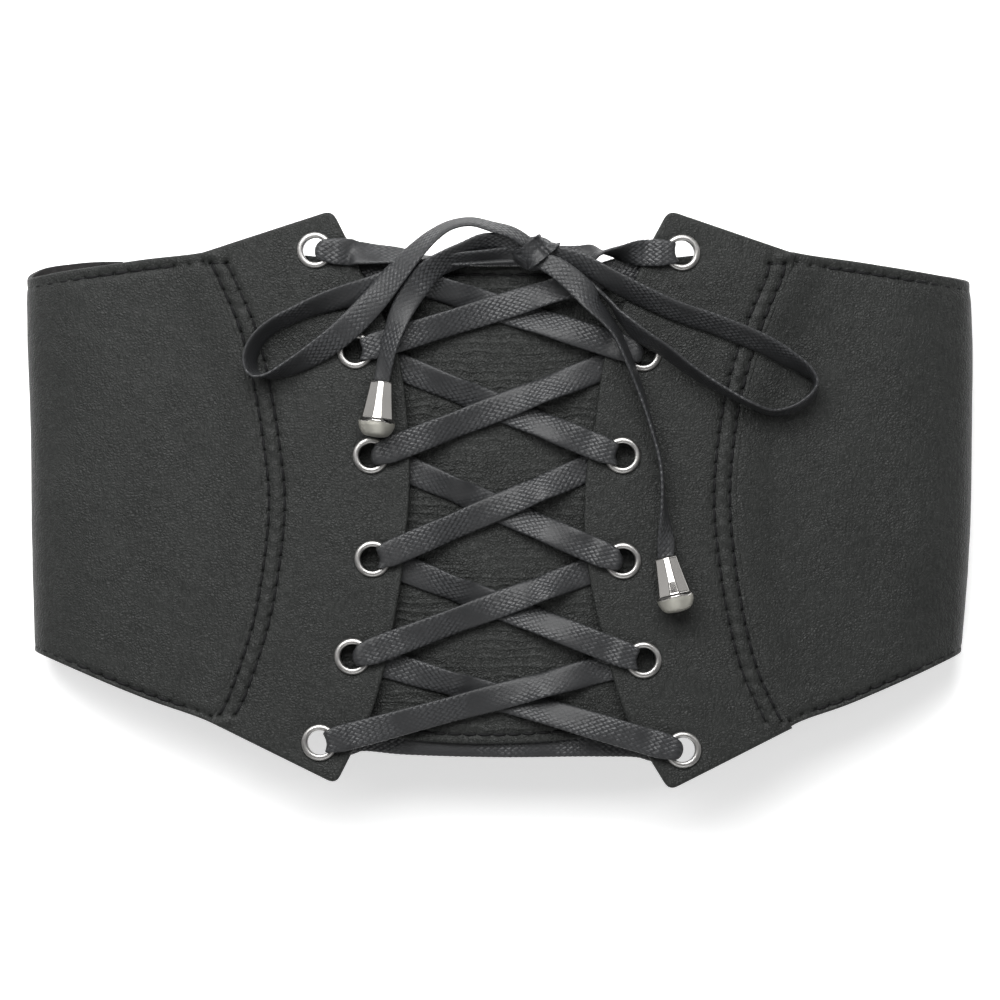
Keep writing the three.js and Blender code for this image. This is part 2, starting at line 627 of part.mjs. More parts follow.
function buildBells() {
  const profile = bellProfile.map(([radius, along]) => new THREE.Vector2(radius, along));
  for (const { name, top, bottom } of bells) {
    const geometry = new THREE.LatheGeometry(profile, BELL_SIDES);
    geometry.rotateY(Math.PI / BELL_SIDES);
    const bell = addPiece(name, geometry, materials.bell);
    const start = overFlap(...top);
    bell.position.copy(start);
    const axis = overFlap(...bottom).sub(start).normalize();
    bell.quaternion.setFromUnitVectors(new THREE.Vector3(0, 1, 0), axis);
  }
}

for (const side of ['left', 'right']) {
  buildFlap(side);
  buildSide(side);
}
buildBackBand();
buildPanel();
buildEyelets();
buildLace();
buildBells();

export default belt;
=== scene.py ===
"""A wide lace-up belt, closed into its loop and lying flat on its back.

Its front faces +Z and its top edge faces +Y. Metres, with the origin on the surface that the
belt lies on, under its middle. Left and right are the viewer's.
"""

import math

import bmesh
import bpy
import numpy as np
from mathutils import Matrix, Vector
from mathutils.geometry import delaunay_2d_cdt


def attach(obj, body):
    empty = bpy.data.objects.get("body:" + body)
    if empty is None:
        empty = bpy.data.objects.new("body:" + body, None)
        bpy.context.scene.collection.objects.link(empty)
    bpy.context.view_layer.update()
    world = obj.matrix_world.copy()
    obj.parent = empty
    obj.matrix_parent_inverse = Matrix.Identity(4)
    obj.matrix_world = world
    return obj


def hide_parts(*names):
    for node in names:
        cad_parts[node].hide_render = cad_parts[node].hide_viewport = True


bl_info = {
    "name": "Wide Lace-Up Belt",
    "version": (1, 0, 0),
    "blender": (4, 5, 0),
    "location": "3D View > Sidebar > Belt",
    "description": "Builds a wide leather belt with a laced front, a bow and two bells",
    "category": "Add Mesh",
}

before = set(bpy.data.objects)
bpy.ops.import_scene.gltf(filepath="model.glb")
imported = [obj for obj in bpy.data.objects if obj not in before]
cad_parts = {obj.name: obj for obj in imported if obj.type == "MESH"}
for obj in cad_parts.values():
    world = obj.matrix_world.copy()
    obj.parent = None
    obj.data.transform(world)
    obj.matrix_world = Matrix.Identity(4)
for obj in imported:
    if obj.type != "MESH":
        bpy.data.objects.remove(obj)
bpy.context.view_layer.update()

# Driving sizes of the belt, the same as in the part
HALF_WIDTH = 0.1476
TAPER = 0.17  # the belt narrows by this share for each metre down from its middle
LEATHER = 0.002
PANEL_WALL = 0.0015
ELASTIC_WALL = 0.0015
GAP = 0.0003
LAP = 0.0093
LEATHER_BACK_END = 0.119
ELASTIC_END = 0.126
LACE_WIDTH = 0.0084
LACE_THICKNESS = 0.0013
LACE_IN_BORE = 0.006
BORE_RADIUS = 0.0039
FLANGE_RADIUS = 0.00575
HOLE_RADIUS = 0.0047
FLANGE_TOP = 0.00105
BACK_FLANGE = 0.0004

# Arcs of the loop's section round the left fold: radius, heading at the start and the end in
# degrees, 180 pointing outwards along the back, 90 up, 0 inwards along the front.
FOLD_ARCS = ((0.010, 180, 90), (0.010, 90, 35), (0.050, 35, 8))
CROWN_HEADING = 8

# Heights over the side panels' outer face
FLAP_INNER = GAP
FLAP_OUTER = FLAP_INNER + LEATHER
PANEL_OUTER = -LEATHER - GAP
PANEL_INNER = PANEL_OUTER - PANEL_WALL
# Heights of the middle of the lace over the flaps' outer face
HALF_LACE = LACE_THICKNESS / 2
LACE_ON_LEATHER = GAP + HALF_LACE
LACE_ON_RING = FLANGE_TOP + GAP + HALF_LACE
LACE_UNDER_FLAP = -LEATHER - GAP - BACK_FLANGE - GAP - HALF_LACE
LACE_CROSSING_HIGH = LACE_UNDER_FLAP + LACE_THICKNESS + GAP
LACE_BEHIND_PANEL = PANEL_INNER - GAP - HALF_LACE - FLAP_OUTER

# Flap's inner edge, beside the lacing, and its outer edge, lapped over the side panel: height,
# then X on the left and on the right.
INNER_EDGE = (
    (0.082, -0.0481, 0.0480), (0.072, -0.0437, 0.0437), (0.060, -0.0376, 0.0382),
    (0.047, -0.0322, 0.0332), (0.026, -0.0289, 0.0298), (0.006, -0.0281, 0.0267),
    (-0.012, -0.0294, 0.0264), (-0.030, -0.0316, 0.0290), (-0.052, -0.0359, 0.0344),
    (-0.069, -0.0411, 0.0400), (-0.080, -0.0468, 0.0462),
)
LAP_EDGE = (
    (0.072, -0.0916, 0.0916), (0.054, -0.0837, 0.0840), (0.034, -0.0788, 0.0780),
    (0.015, -0.0758, 0.0750), (0.000, -0.0744, 0.0741), (-0.017, -0.0757, 0.0754),
    (-0.038, -0.0793, 0.0788), (-0.055, -0.0846, 0.0834), (-0.066, -0.0888, 0.0886),
)
FLAP_CORNERS = {
    "left": {
        "top_outer": (-0.0938, 0.0774), "top_tip": (-0.0525, 0.0906),
        "bottom_tip": (-0.0513, -0.0889), "bottom_outer": (-0.0913, -0.0694),
    },
    "right": {
        "top_outer": (0.0925, 0.0772), "top_tip": (0.0527, 0.0906),
        "bottom_tip": (0.0529, -0.0909), "bottom_outer": (0.0916, -0.0715),
    },
}
TIP_ROUND = 0.003

# Top and bottom edges of a side panel by distance from the middle, first on the front and then
# on the back: distance, left top, left bottom, right top, right bottom.
FRONT_EDGES = (
    (0.082, 0.0794, -0.0732, 0.0790, -0.0754), (0.090, 0.0777, -0.0697, 0.0775, -0.0717),
    (0.0935, 0.0770, -0.0681, 0.0768, -0.0694), (0.110, 0.0753, -0.0626, 0.0746, -0.0637),
    (0.122, 0.0736, -0.0580, 0.0728, -0.0588), (0.136, 0.0717, -0.0521, 0.0707, -0.0529),
    (0.155, 0.0685, -0.0440, 0.0678, -0.0442),
)
BACK_EDGES = (
    (0.110, 0.0757, -0.0510, 0.0740, -0.0545), (0.128, 0.0757, -0.0495, 0.0728, -0.0520),
    (0.136, 0.0749, -0.0485, 0.0718, -0.0500), (0.1446, 0.0734, -0.0470, 0.0704, -0.0475),
    (0.1493, 0.0694, -0.0460, 0.0689, -0.0462), (0.155, 0.0640, -0.0440, 0.0670, -0.0442),
)
SIDE_FRONT_END = 0.082  # a side panel ends under its flap at this distance from the middle
EDGE_SHIFT = {"top": 0.0004, "bottom": -0.0009}  # the soft edges lie this far out of the tables
EDGE_SOFTENING = 11  # points that an edge's corner at the fold is spread over
# How far a side panel bulges out of its fold's arcs: the most, and how fast it fades with the
# square of the distance from BULGE_MIDDLE. It also grows towards the belt's bottom edge. It
# starts and ends over these stretches of the length round the loop.
FOLD_BULGE = {"left": (0.0013, 0.0), "right": (0.0022, 0.6)}
BULGE_MIDDLE = 0.012
BULGE_SLOPE = -0.005
BULGE_RISE = (0.020, 0.032)
BULGE_FALL = (0.042, 0.075)

ELASTIC_RISE = 0.0026  # the elastic's top edge rises by this to its middle
# Heights of the elastic's ends: top and bottom
ELASTIC_LEFT = (0.0753, -0.0466)
ELASTIC_RIGHT = (0.0724, -0.0506)

# The panel behind the lacing: each long edge is a parabola.
PANEL_HALF_WIDTH = 0.080
PANEL_TOP = {"middle": 0.0, "height": 0.0734, "rise": 0.9, "limit": 0.0785}
PANEL_BOTTOM = {"middle": -0.00375, "height": -0.0764, "rise": 2.0, "limit": 0.0}

PAIRS = 6
EYELETS = {
    "left": (
        (-0.0578, 0.0781), (-0.0452, 0.0467), (-0.0403, 0.0139),
        (-0.0398, -0.0184), (-0.0461, -0.0489), (-0.0564, -0.0758),
    ),
    "right": (
        (0.0569, 0.0773), (0.0448, 0.0459), (0.0383, 0.0139),
        (0.0384, -0.0190), (0.0448, -0.0500), (0.0572, -0.0781),
    ),
}

# The bow's route: X, Y, lift over the flaps, lean of the lace's width from the surface in
# degrees, width.
BOW = {
    "loop_left": (
        (0.0100, 0.0790, 0.0040, 40, 0.0050), (0.0040, 0.0830, 0.0055, 56, 0.0066),
        (-0.0020, 0.0849, 0.0052, 67, 0.0084), (-0.0090, 0.0866, 0.0050, 71, 0.0084),
        (-0.0155, 0.0855, 0.0050, 69, 0.0084), (-0.0210, 0.0822, 0.0051, 60, 0.0084),
        (-0.0270, 0.0766, 0.0051, 45, 0.0084), (-0.0328, 0.0700, 0.0049, 28, 0.0084),
        (-0.0384, 0.0631, 0.0046, 14, 0.0084), (-0.0447, 0.0563, 0.0041, -4, 0.0084),
        (-0.0519, 0.0499, 0.0040, -22, 0.0084), (-0.0592, 0.0449, 0.0036, -40, 0.0084),
        (-0.0660, 0.0412, 0.0043, -60, 0.0084), (-0.0725, 0.0389, 0.0048, -85, 0.0084),
        (-0.0765, 0.0394, 0.0048, -103, 0.0084), (-0.0781, 0.0426, 0.0048, -113, 0.0084),
        (-0.0774, 0.0468, 0.0047, -117, 0.0084), (-0.0746, 0.0512, 0.0046, -117, 0.0084),
        (-0.0700, 0.0549, 0.0045, -118, 0.0084), (-0.0635, 0.0581, 0.0043, -121, 0.0084),
        (-0.0560, 0.0612, 0.0039, -133, 0.0084), (-0.0480, 0.0636, 0.0030, -149, 0.0084),
        (-0.0406, 0.0656, 0.0020, -163, 0.0084), (-0.0330, 0.0684, 0.0016, -166, 0.0084),
        (-0.0240, 0.0714, 0.0020, -148, 0.0084), (-0.0130, 0.0747, 0.0026, -124, 0.0080),
        (-0.0030, 0.0762, 0.0024, -124, 0.0064), (0.0070, 0.0770, 0.0016, -160, 0.0050),
    ),
    "tail_left": (
        (0.0090, 0.0782, 0.0034, -12, 0.0050), (0.0015, 0.0800, 0.0040, -36, 0.0066),
        (-0.0050, 0.0800, 0.0044, -48, 0.0082), (-0.0110, 0.0775, 0.0045, -50, 0.0084),
        (-0.0165, 0.0748, 0.0044, -44, 0.0084), (-0.0219, 0.0713, 0.0044, -32, 0.0084),
        (-0.0261, 0.0662, 0.0045, -10, 0.0080),
        (-0.0303, 0.0594, 0.0045, 12, 0.0076), (-0.0333, 0.0518, 0.0050, 34, 0.0072),
        (-0.0353, 0.0448, 0.0051, 36, 0.0064), (-0.0367, 0.0378, 0.0050, 16, 0.0052),
    ),
    "loop_right": (
        (0.0120, 0.0776, 0.0034, 10, 0.0045), (0.0180, 0.0770, 0.0037, 15, 0.0045),
        (0.0250, 0.0742, 0.0037, 28, 0.0060), (0.0381, 0.0668, 0.0037, 42, 0.0084),
        (0.0534, 0.0596, 0.0038, 45, 0.0084), (0.0678, 0.0546, 0.0038, 45, 0.0084),
        (0.0794, 0.0500, 0.0040, 47, 0.0084), (0.0844, 0.0476, 0.0038, 50, 0.0084),
        (0.0895, 0.0446, 0.0028, 55, 0.0084), (0.0960, 0.0404, 0.0023, 72, 0.0084),
        (0.0988, 0.0370, 0.0024, 92, 0.0084), (0.0982, 0.0334, 0.0024, 106, 0.0084),
        (0.0952, 0.0304, 0.0024, 108, 0.0084), (0.0900, 0.0280, 0.0025, 104, 0.0084),
        (0.0845, 0.0276, 0.0027, 98, 0.0084), (0.0780, 0.0300, 0.0048, 95, 0.0084),
        (0.0694, 0.0344, 0.0048, 100, 0.0084), (0.0599, 0.0401, 0.0052, 108, 0.0084),
        (0.0511, 0.0466, 0.0062, 114, 0.0084), (0.0455, 0.0501, 0.0069, 118, 0.0084),
        (0.0407, 0.0539, 0.0068, 114, 0.0084), (0.0370, 0.0578, 0.0054, 100, 0.0078),
        (0.0341, 0.0618, 0.0044, 90, 0.0068), (0.0306, 0.0655, 0.0027, 87, 0.0034),
        (0.0274, 0.0684, 0.0026, 86, 0.0032), (0.0220, 0.0720, 0.0029, 82, 0.0030),
        (0.0150, 0.0750, 0.0034, 70, 0.0036),
    ),
    "tail_right": (
        (0.0105, 0.0755, 0.0050, 0, 0.0050), (0.0176, 0.0722, 0.0064, -5, 0.0066),
        (0.0238, 0.0672, 0.0070, -10, 0.0076), (0.0269, 0.0639, 0.0071, -24, 0.0078),
        (0.0292, 0.0606, 0.0068, -48, 0.0080), (0.0330, 0.0564, 0.0064, -60, 0.0080),
        (0.0364, 0.0516, 0.0064, -68, 0.0076), (0.0397, 0.0444, 0.0068, -70, 0.0076),
        (0.0438, 0.0338, 0.0056, -76, 0.0084), (0.0474, 0.0219, 0.0048, -83, 0.0084),
        (0.0500, 0.0109, 0.0047, -85, 0.0084), (0.0508, 0.0010, 0.0047, -80, 0.0084),
        (0.0514, -0.0080, 0.0046, -58, 0.0074), (0.0517, -0.0135, 0.0048, -25, 0.0060),
        (0.0516, -0.0172, 0.0050, 0, 0.0050),
    ),
}

# The lace's two ends at the top of the belt, from the first eyelets to the knot.
TOP_BARS = {
    "right": (
        (0.0432, 0.0771, 0.0013, -20, 0.0084), (0.0402, 0.0771, 0.0013, -44, 0.0084),
        (0.0370, 0.0772, 0.0013, -66, 0.0084), (0.0337, 0.0773, 0.0012, -84, 0.0084),
        (0.0310, 0.0772, 0.0010, -104, 0.0084), (0.0286, 0.0769, 0.0007, -140, 0.0076),
        (0.0256, 0.0764, 0.0005, -164, 0.0066), (0.0200, 0.0765, 0.0005, -175, 0.0058),
        (0.0140, 0.0768, 0.0007, -178, 0.0050),
    ),
    "left": (
        (-0.0450, 0.0772, 0.0012, -26, 0.0084), (-0.0390, 0.0768, 0.0008, -42, 0.0084),
        (-0.0310, 0.0763, 0.0004, -54, 0.0084), (-0.0240, 0.0749, 0.0002, -70, 0.0084),
        (-0.0130, 0.0751, 0.0, -60, 0.0076), (-0.0020, 0.0757, 0.0, -48, 0.0060),
        (0.0080, 0.0766, 0.0, -10, 0.0050),
    ),
}

KNOT_PLACE = (0.0109, 0.0769, 0.0023)  # X, Y, lift
KNOT_SIZE = (0.0138, 0.0104, 0.0080)
BELLS = {
    "left": {"top": (-0.0369, 0.0369, 0.0050), "bottom": (-0.0388, 0.0196, 0.0064)},
    "right": {"top": (0.0516, -0.0179, 0.0052), "bottom": (0.0554, -0.0342, 0.0065)},
}

SIDES = ("left", "right")


# Settings

def length_setting(name, description, default):
    """A size that a user can change, in metres."""
    return bpy.props.FloatProperty(
        name=name, description=description, default=default, min=0.0, unit="LENGTH", precision=5)


def colour_setting(name, description, default):
    """A finish's colour that a user can change."""
    return bpy.props.FloatVectorProperty(
        name=name, description=description, default=default, size=3, min=0.0, max=1.0,
        subtype="COLOR")


class BeltLeatherSettings(bpy.types.PropertyGroup):
    """Sizes and colours of the flaps, the side panels and the panel behind the lacing."""

    spacing: length_setting("Net spacing", "Distance between the points of a piece's net", 0.0009)
    edge_round: length_setting("Edge rounding", "Radius of the outer edge of the leather", 0.0008)
    grain_size: length_setting("Grain size", "Width of one pebble of the grain", 0.00100)
    groove: length_setting("Groove depth", "How deep a row of stitches sinks", 0.00065)
    puff: length_setting("Seam puff", "How far leather rises between a seam's two rows", 0.00035)
    colour: colour_setting("Leather colour", "Colour of its outside", (0.0212, 0.0224, 0.0213))
    lining: colour_setting("Lining colour", "Colour of its inside", (0.022, 0.021, 0.021))


class BeltStitchSettings(bpy.types.PropertyGroup):
    """Sizes and colour of the stitching."""

    pitch: length_setting("Pitch", "Distance from one stitch to the next", 0.0047)
    thread: length_setting("Thread", "Thickness of the sewing thread", 0.00100)
    colour: colour_setting("Thread colour", "Colour of the sewing thread", (0.0085, 0.0085, 0.0090))


class BeltLaceSettings(bpy.types.PropertyGroup):
    """Sizes and colour of the braided lace."""

    step: length_setting("Step", "Distance between two sections of the lace's net", 0.0005)
    braid: length_setting("Braid size", "Distance from one yarn of the braid to the next", 0.00130)
    colour: colour_setting("Lace colour", "Colour of the braided lace", (0.0258, 0.0267, 0.0284))


class BeltMetalSettings(bpy.types.PropertyGroup):
    """Colours of the eyelets and the bells."""

    eyelet_colour: colour_setting("Eyelet colour", "Colour of its plating", (0.45, 0.442, 0.43))
    bell_colour: colour_setting("Bell colour", "Colour of its facets", (0.50, 0.485, 0.465))
    bowl_colour: colour_setting("Bowl colour", "Colour of a bell's bowl", (0.57, 0.56, 0.505))


class BeltElasticSettings(bpy.types.PropertyGroup):
    """Sizes and colour of the elastic back."""

    rib: length_setting("Rib pitch", "Distance from one rib of the elastic to the next", 0.0024)
    relief: length_setting("Rib height", "Height of a rib of the elastic", 0.00035)
    colour: colour_setting("Elastic colour", "Colour of the elastic", (0.012, 0.012, 0.013))


class BeltStageSettings(bpy.types.PropertyGroup):
    """The floor, the lights and the camera."""

    distance: length_setting("Camera distance", "Height of the camera over the belt's front", 1.5)
    field: length_setting("Field", "Width that the camera sees at the belt's front", 0.3125)
    floor_colour: colour_setting("Floor colour", "Colour of the floor", (0.93, 0.93, 0.93))


# The loop's section

def towards_centre(heading):
    """Right-hand normal of a heading in the section's X-Z plane: it points to an arc's centre."""
    return np.array([math.sin(math.radians(heading)), -math.cos(math.radians(heading))])


FLAT_LENGTH = HALF_WIDTH - FOLD_ARCS[0][0] - LEATHER_BACK_END


def section_stretches():
    """Arcs of the left half's outer face: length at the start, radius, heading there, centre."""
    end = np.array([FOLD_ARCS[0][0] - HALF_WIDTH, 0.0])
    length = FLAT_LENGTH
    rows = []
    for radius, start, stop in FOLD_ARCS:
        centre = end + radius * towards_centre(start)
        rows.append((length, radius, start, centre))
        end = centre - radius * towards_centre(stop)
        length += radius * math.radians(start - stop)
    crown = -end[0] / math.sin(math.radians(CROWN_HEADING))
    middle = np.array([0.0, end[1] - crown * math.cos(math.radians(CROWN_HEADING))])
    rows.append((length, crown, CROWN_HEADING, middle))
    return rows


STRETCHES = section_stretches()
CROWN_START, CROWN_RADIUS, _, (_, CROWN_CENTRE) = STRETCHES[-1]


def wall_point(length, height):
    """X and Z on the left half, by length round its outer face from the back and height over it."""
    x = -LEATHER_BACK_END - length
    z = -height + 0 * length
    for start, radius, heading, centre in STRETCHES:
        on = length >= start
        angle = math.radians(heading) - (length - start) / radius
        x = np.where(on, centre[0] - (radius + height) * np.sin(angle), x)
        z = np.where(on, centre[1] + (radius + height) * np.cos(angle), z)
    return x, z


def crown_length(x):
    """Length round the left half's outer face to a place on the long front arc."""
    angle = math.radians(CROWN_HEADING) - np.arcsin(np.abs(x) / CROWN_RADIUS)
    return CROWN_START + CROWN_RADIUS * angle


def line_length(line):
    """A line on the front given by X and Y, by length round the loop and Y instead."""
    x, y = line.T
    return np.stack([crown_length(x / (1 + TAPER * y)), y], 1)


def crown_height(x, height):
    """Z on the long front arc, by X and height over the side panels' outer face."""
    return CROWN_CENTRE + np.sqrt((CROWN_RADIUS + height) ** 2 - x * x)


def over_crown(points, height):
    """Places on the front, for points given by X and Y."""
    x, y = points.T
    return np.stack([x, y, crown_height(x / (1 + TAPER * y), height)], 1)


def smooth_share(value, low, high):
    """A share that rises smoothly from 0 to 1 as the value goes from low to high."""
    share = np.clip((value - low) / (high - low), 0, 1)
    return share * share * (3 - 2 * share)


def fold_swell(points, side):
    """How far the fold bulges out of its arcs, more towards the belt's bottom edge."""
    length, y = points.T
    most, fade = FOLD_BULGE[side]
    bulge = most + BULGE_SLOPE * y - fade * (y - BULGE_MIDDLE) ** 2
    return bulge * smooth_share(length, *BULGE_RISE) * (1 - smooth_share(length, *BULGE_FALL))


def round_fold(side):
    """A function that gives places on a side panel, for points given by length and Y."""
    mirror = 1 if side == "left" else -1

    def place(points, height):
        x, z = wall_point(points[:, 0], height + fold_swell(points, side))
        return np.stack([mirror * x * (1 + TAPER * points[:, 1]), points[:, 1], z], 1)

    return place


def over_flap(x, y, lift):
    """A place at a lift over the flaps' outer face."""
    return np.stack([x, y, crown_height(x, FLAP_OUTER + lift)], -1)


def crown_normal(x):
    """The direction straight out of the flaps' outer face."""
    sine = x / (CROWN_RADIUS + FLAP_OUTER)
    return np.stack([sine, 0 * sine, np.sqrt(1 - sine * sine)], -1)


# Lines and nets

def lengths_along(points):
    """Length along a line up to each of its points."""
    steps = np.linalg.norm(np.diff(points, axis=0), axis=1)
    return np.concatenate([[0.0], np.cumsum(steps)])


def evenly(rows, step, place):
    """Rows at an even distance along a line. The first `place` columns are the point."""
    along = lengths_along(rows[:, :place])
    count = max(2, round(along[-1] / step) + 1)
    at = np.linspace(0, along[-1], count)
    return np.stack([np.interp(at, along, column) for column in rows.T], 1)


def smooth_line(rows, step, place=2):
    """A centripetal Catmull-Rom curve through the rows, with a row every step."""
    rows = np.asarray(rows, float)
    padded = np.vstack([2 * rows[0] - rows[1], rows, 2 * rows[-1] - rows[-2]])
    gaps = np.linalg.norm(np.diff(padded[:, :place], axis=0), axis=1)
    knots = np.concatenate([[0.0], np.cumsum(np.sqrt(gaps))])
    pieces = []
    for i in range(1, len(padded) - 2):
        between = padded[i - 1:i + 3]
        k = knots[i - 1:i + 3]
        count = max(3, math.ceil(gaps[i] / step * 3))
        t = np.linspace(k[1], k[2], count, endpoint=False)[:, None]
        for reach, places in ((1, 3), (2, 2)):
            between = [
                (k[j + reach] - t) / (k[j + reach] - k[j]) * between[j]
                + (t - k[j]) / (k[j + reach] - k[j]) * between[j + 1] for j in range(places)]
        start, end = between
        pieces.append((k[2] - t) / (k[2] - k[1]) * start + (t - k[1]) / (k[2] - k[1]) * end)
    return evenly(np.vstack([*pieces, rows[-1:]]), step, place)


def straight_line(start, end, step):
    return evenly(np.array([start, end], float), step, 2)


def rounded_corner(before, corner, after, radius):
    """Points round a corner, on a quadratic curve that starts and ends a radius from it."""
    before, corner, after = (np.array(p, float) for p in (before, corner, after))
    start = corner + (before - corner) / np.linalg.norm(before - corner) * radius
    end = corner + (after - corner) / np.linalg.norm(after - corner) * radius
    t = np.linspace(0, 1, 7)[:, None]
    return (1 - t) ** 2 * start + 2 * t * (1 - t) * corner + t * t * end


CHUNK = 4000  # points that are measured at a time, to save memory


def in_chunks(points, measure):
    """A measure of each point, worked out chunk by chunk."""
    found = np.full(len(points), np.inf)
    for chunk in np.array_split(np.arange(len(points)), max(1, len(points) // CHUNK)):
        found[chunk] = measure(points[chunk, None])
    return found


def rim_distance(points, rim, closed=True):
    """Distance of each point from a line of points."""
    ends = np.roll(rim, -1, axis=0) if closed else rim[1:]
    starts = rim if closed else rim[:-1]
    run = ends - starts
    size = np.maximum((run ** 2).sum(1), 1e-18)

    def from_line(some):
        offset = some - starts
        share = np.clip((offset * run).sum(2) / size, 0, 1)
        return np.sqrt(((offset - share[..., None] * run) ** 2).sum(2).min(1))

    return in_chunks(points, from_line)


def rims_distance(points, rims):
    """Distance of each point from the nearest of several closed lines."""
    return np.min([rim_distance(points, rim) for rim in rims], axis=0)


def point_distance(points, spots):
    """Distance of each point from the nearest spot."""
    return in_chunks(points, lambda some: np.sqrt(((some - spots) ** 2).sum(2).min(1)))


def inside(points, rim, holes=()):
    """Which points lie inside a closed line and outside its holes."""
    x, y = points.T
    found = np.zeros(len(points), bool)
    ends = np.roll(rim, -1, axis=0)
    for (ax, ay), (bx, by) in zip(rim, ends):
        if ay != by:
            found ^= ((ay > y) != (by > y)) & (x < (bx - ax) * (y - ay) / (by - ay) + ax)
    for hole in holes:
        found &= ~inside(points, hole)
    return found


# Distances of a net's extra rows of points from its rims and from the middles of its stitch holes
EDGE_RINGS = (0.00008, 0.0002, 0.0004, 0.0007, 0.0012)
HOLE_RINGS = (0.00035, 0.0007)
HOLE_CLEARANCE = 0.0003  # a point round a stitch hole stays this far from the rims
RING_SHARE = 0.93  # a point nearer to a rim than this share of its row's distance is dropped
EDGE_SHARE = 0.35  # the grid ends this share of its spacing from the last extra row,
SPOT_SHARE = 0.3  # and this share of it from a stitch hole's rings


def circle(centre, radius, count=40):
    angle = np.linspace(0, 2 * math.pi, count, endpoint=False)
    return np.array(centre) + radius * np.stack([np.cos(angle), np.sin(angle)], 1)


def sheet_net(outline, holes, spacing, spots):
    """Points and triangles that fill an outline, denser at its edges and round the spots."""
    rims = [outline, *holes]
    points = []
    edges = []
    for rim in rims:
        start = len(points)
        points.extend(rim)
        edges.extend((start + i, start + (i + 1) % len(rim)) for i in range(len(rim)))
    extra = []
    for rim in rims:
        run = np.roll(rim, -1, axis=0) - np.roll(rim, 1, axis=0)
        normal = np.stack([-run[:, 1], run[:, 0]], 1) / np.linalg.norm(run, axis=1)[:, None]
        for ring in EDGE_RINGS:
            for sign in (1, -1):
                offset = rim + sign * ring * normal
                extra.append(offset[rims_distance(offset, rims) > RING_SHARE * ring])
    low, high = outline.min(0), outline.max(0)
    columns = np.arange(low[0], high[0], spacing)
    rows = np.arange(low[1], high[1], spacing)
    grid = np.stack(np.meshgrid(columns, rows), -1).reshape(-1, 2)
    grid = grid[rims_distance(grid, rims) > EDGE_RINGS[-1] + EDGE_SHARE * spacing]
    grid = grid[point_distance(grid, spots) > HOLE_RINGS[-1] + SPOT_SHARE * spacing]
    round_spot = np.vstack([[[0.0, 0.0]], *(circle((0, 0), ring, 8) for ring in HOLE_RINGS)])
    near = (spots[:, None] + round_spot).reshape(-1, 2)
    extra = np.vstack([*extra, grid, near[rims_distance(near, rims) > HOLE_CLEARANCE]])
    points = np.vstack([points, extra[inside(extra, outline, holes)]])
    made = delaunay_2d_cdt([Vector(p) for p in points], edges, [], 0, 1e-9)
    net = np.array([tuple(p) for p in made[0]])
    triangles = np.array(made[2])
    return net, triangles[inside(net[triangles].mean(1), outline, holes)]


def tube_faces(rings, sides, closed=False):
    """Faces between rings of points that follow each other, with as many points in each."""
    faces = []
    for i in range(rings if closed else rings - 1):
        j = (i + 1) % rings
        for k in range(sides):
            m = (k + 1) % sides
            faces.append((i * sides + k, i * sides + m, j * sides + m, j * sides + k))
    return faces


def ring_ends(rings, sides):
    """One face at each end of a tube."""
    return [tuple(range(sides))[::-1], tuple(range((rings - 1) * sides, rings * sides))]


def spokes(count, first, second):
    """Directions all round, from the first direction over the second, and their angles."""
    angle = np.linspace(0, 2 * math.pi, count, endpoint=False)
    return angle, np.cos(angle)[:, None] * first + np.sin(angle)[:, None] * second


def rim_edges(triangles):
    """Edges that only one triangle has, in its order."""
    directed = np.vstack([triangles[:, [0, 1]], triangles[:, [1, 2]], triangles[:, [2, 0]]])
    keys = {(a, b) for a, b in directed.tolist()}
    return np.array([(a, b) for a, b in sorted(keys) if (b, a) not in keys])


def rounding(distance, radius):
    """How far a rounded edge lies under the face at a distance from the rim."""
    inner = np.clip(radius - distance, 0, radius)
    return radius - np.sqrt(radius ** 2 - inner ** 2)


def waves(points, scale, seed):
    """A smooth uneven field between about -1 and 1, with features of a given size."""
    draw = np.random.default_rng(seed)
    total = np.zeros(len(points))
    for _ in range(7):
        direction = draw.normal(size=points.shape[1])
        direction *= 2 * math.pi / scale / np.linalg.norm(direction) * draw.uniform(0.6, 1.3)
        total += np.sin(points @ direction + draw.uniform(0, 2 * math.pi))
    return total / 3.2


# Pieces

def new_piece(name, vertices, faces, finishes, finish_index=None):
    """A smooth-shaded mesh object, placed by its own points."""
    mesh = bpy.data.meshes.new(name)
    mesh.from_pydata(np.asarray(vertices).tolist(), [], faces)
    mesh.validate()
    for finish in finishes:
        mesh.materials.append(finish)
    if finish_index is not None:
        mesh.polygons.foreach_set("material_index", np.asarray(finish_index, np.int32))
    mesh.polygons.foreach_set("use_smooth", np.ones(len(mesh.polygons), bool))
    mesh.update()
    piece = bpy.data.objects.new(name, mesh)
    bpy.context.scene.collection.objects.link(piece)
    return piece


def dress(piece, slot, *nodes):
    """Makes a piece ride on the belt and stand for its solids. The slot is not used."""
    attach(piece, "root")
    if nodes:
        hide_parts(*nodes)
    return piece


MOST_ROUNDING = 0.45  # share of the leather's thickness


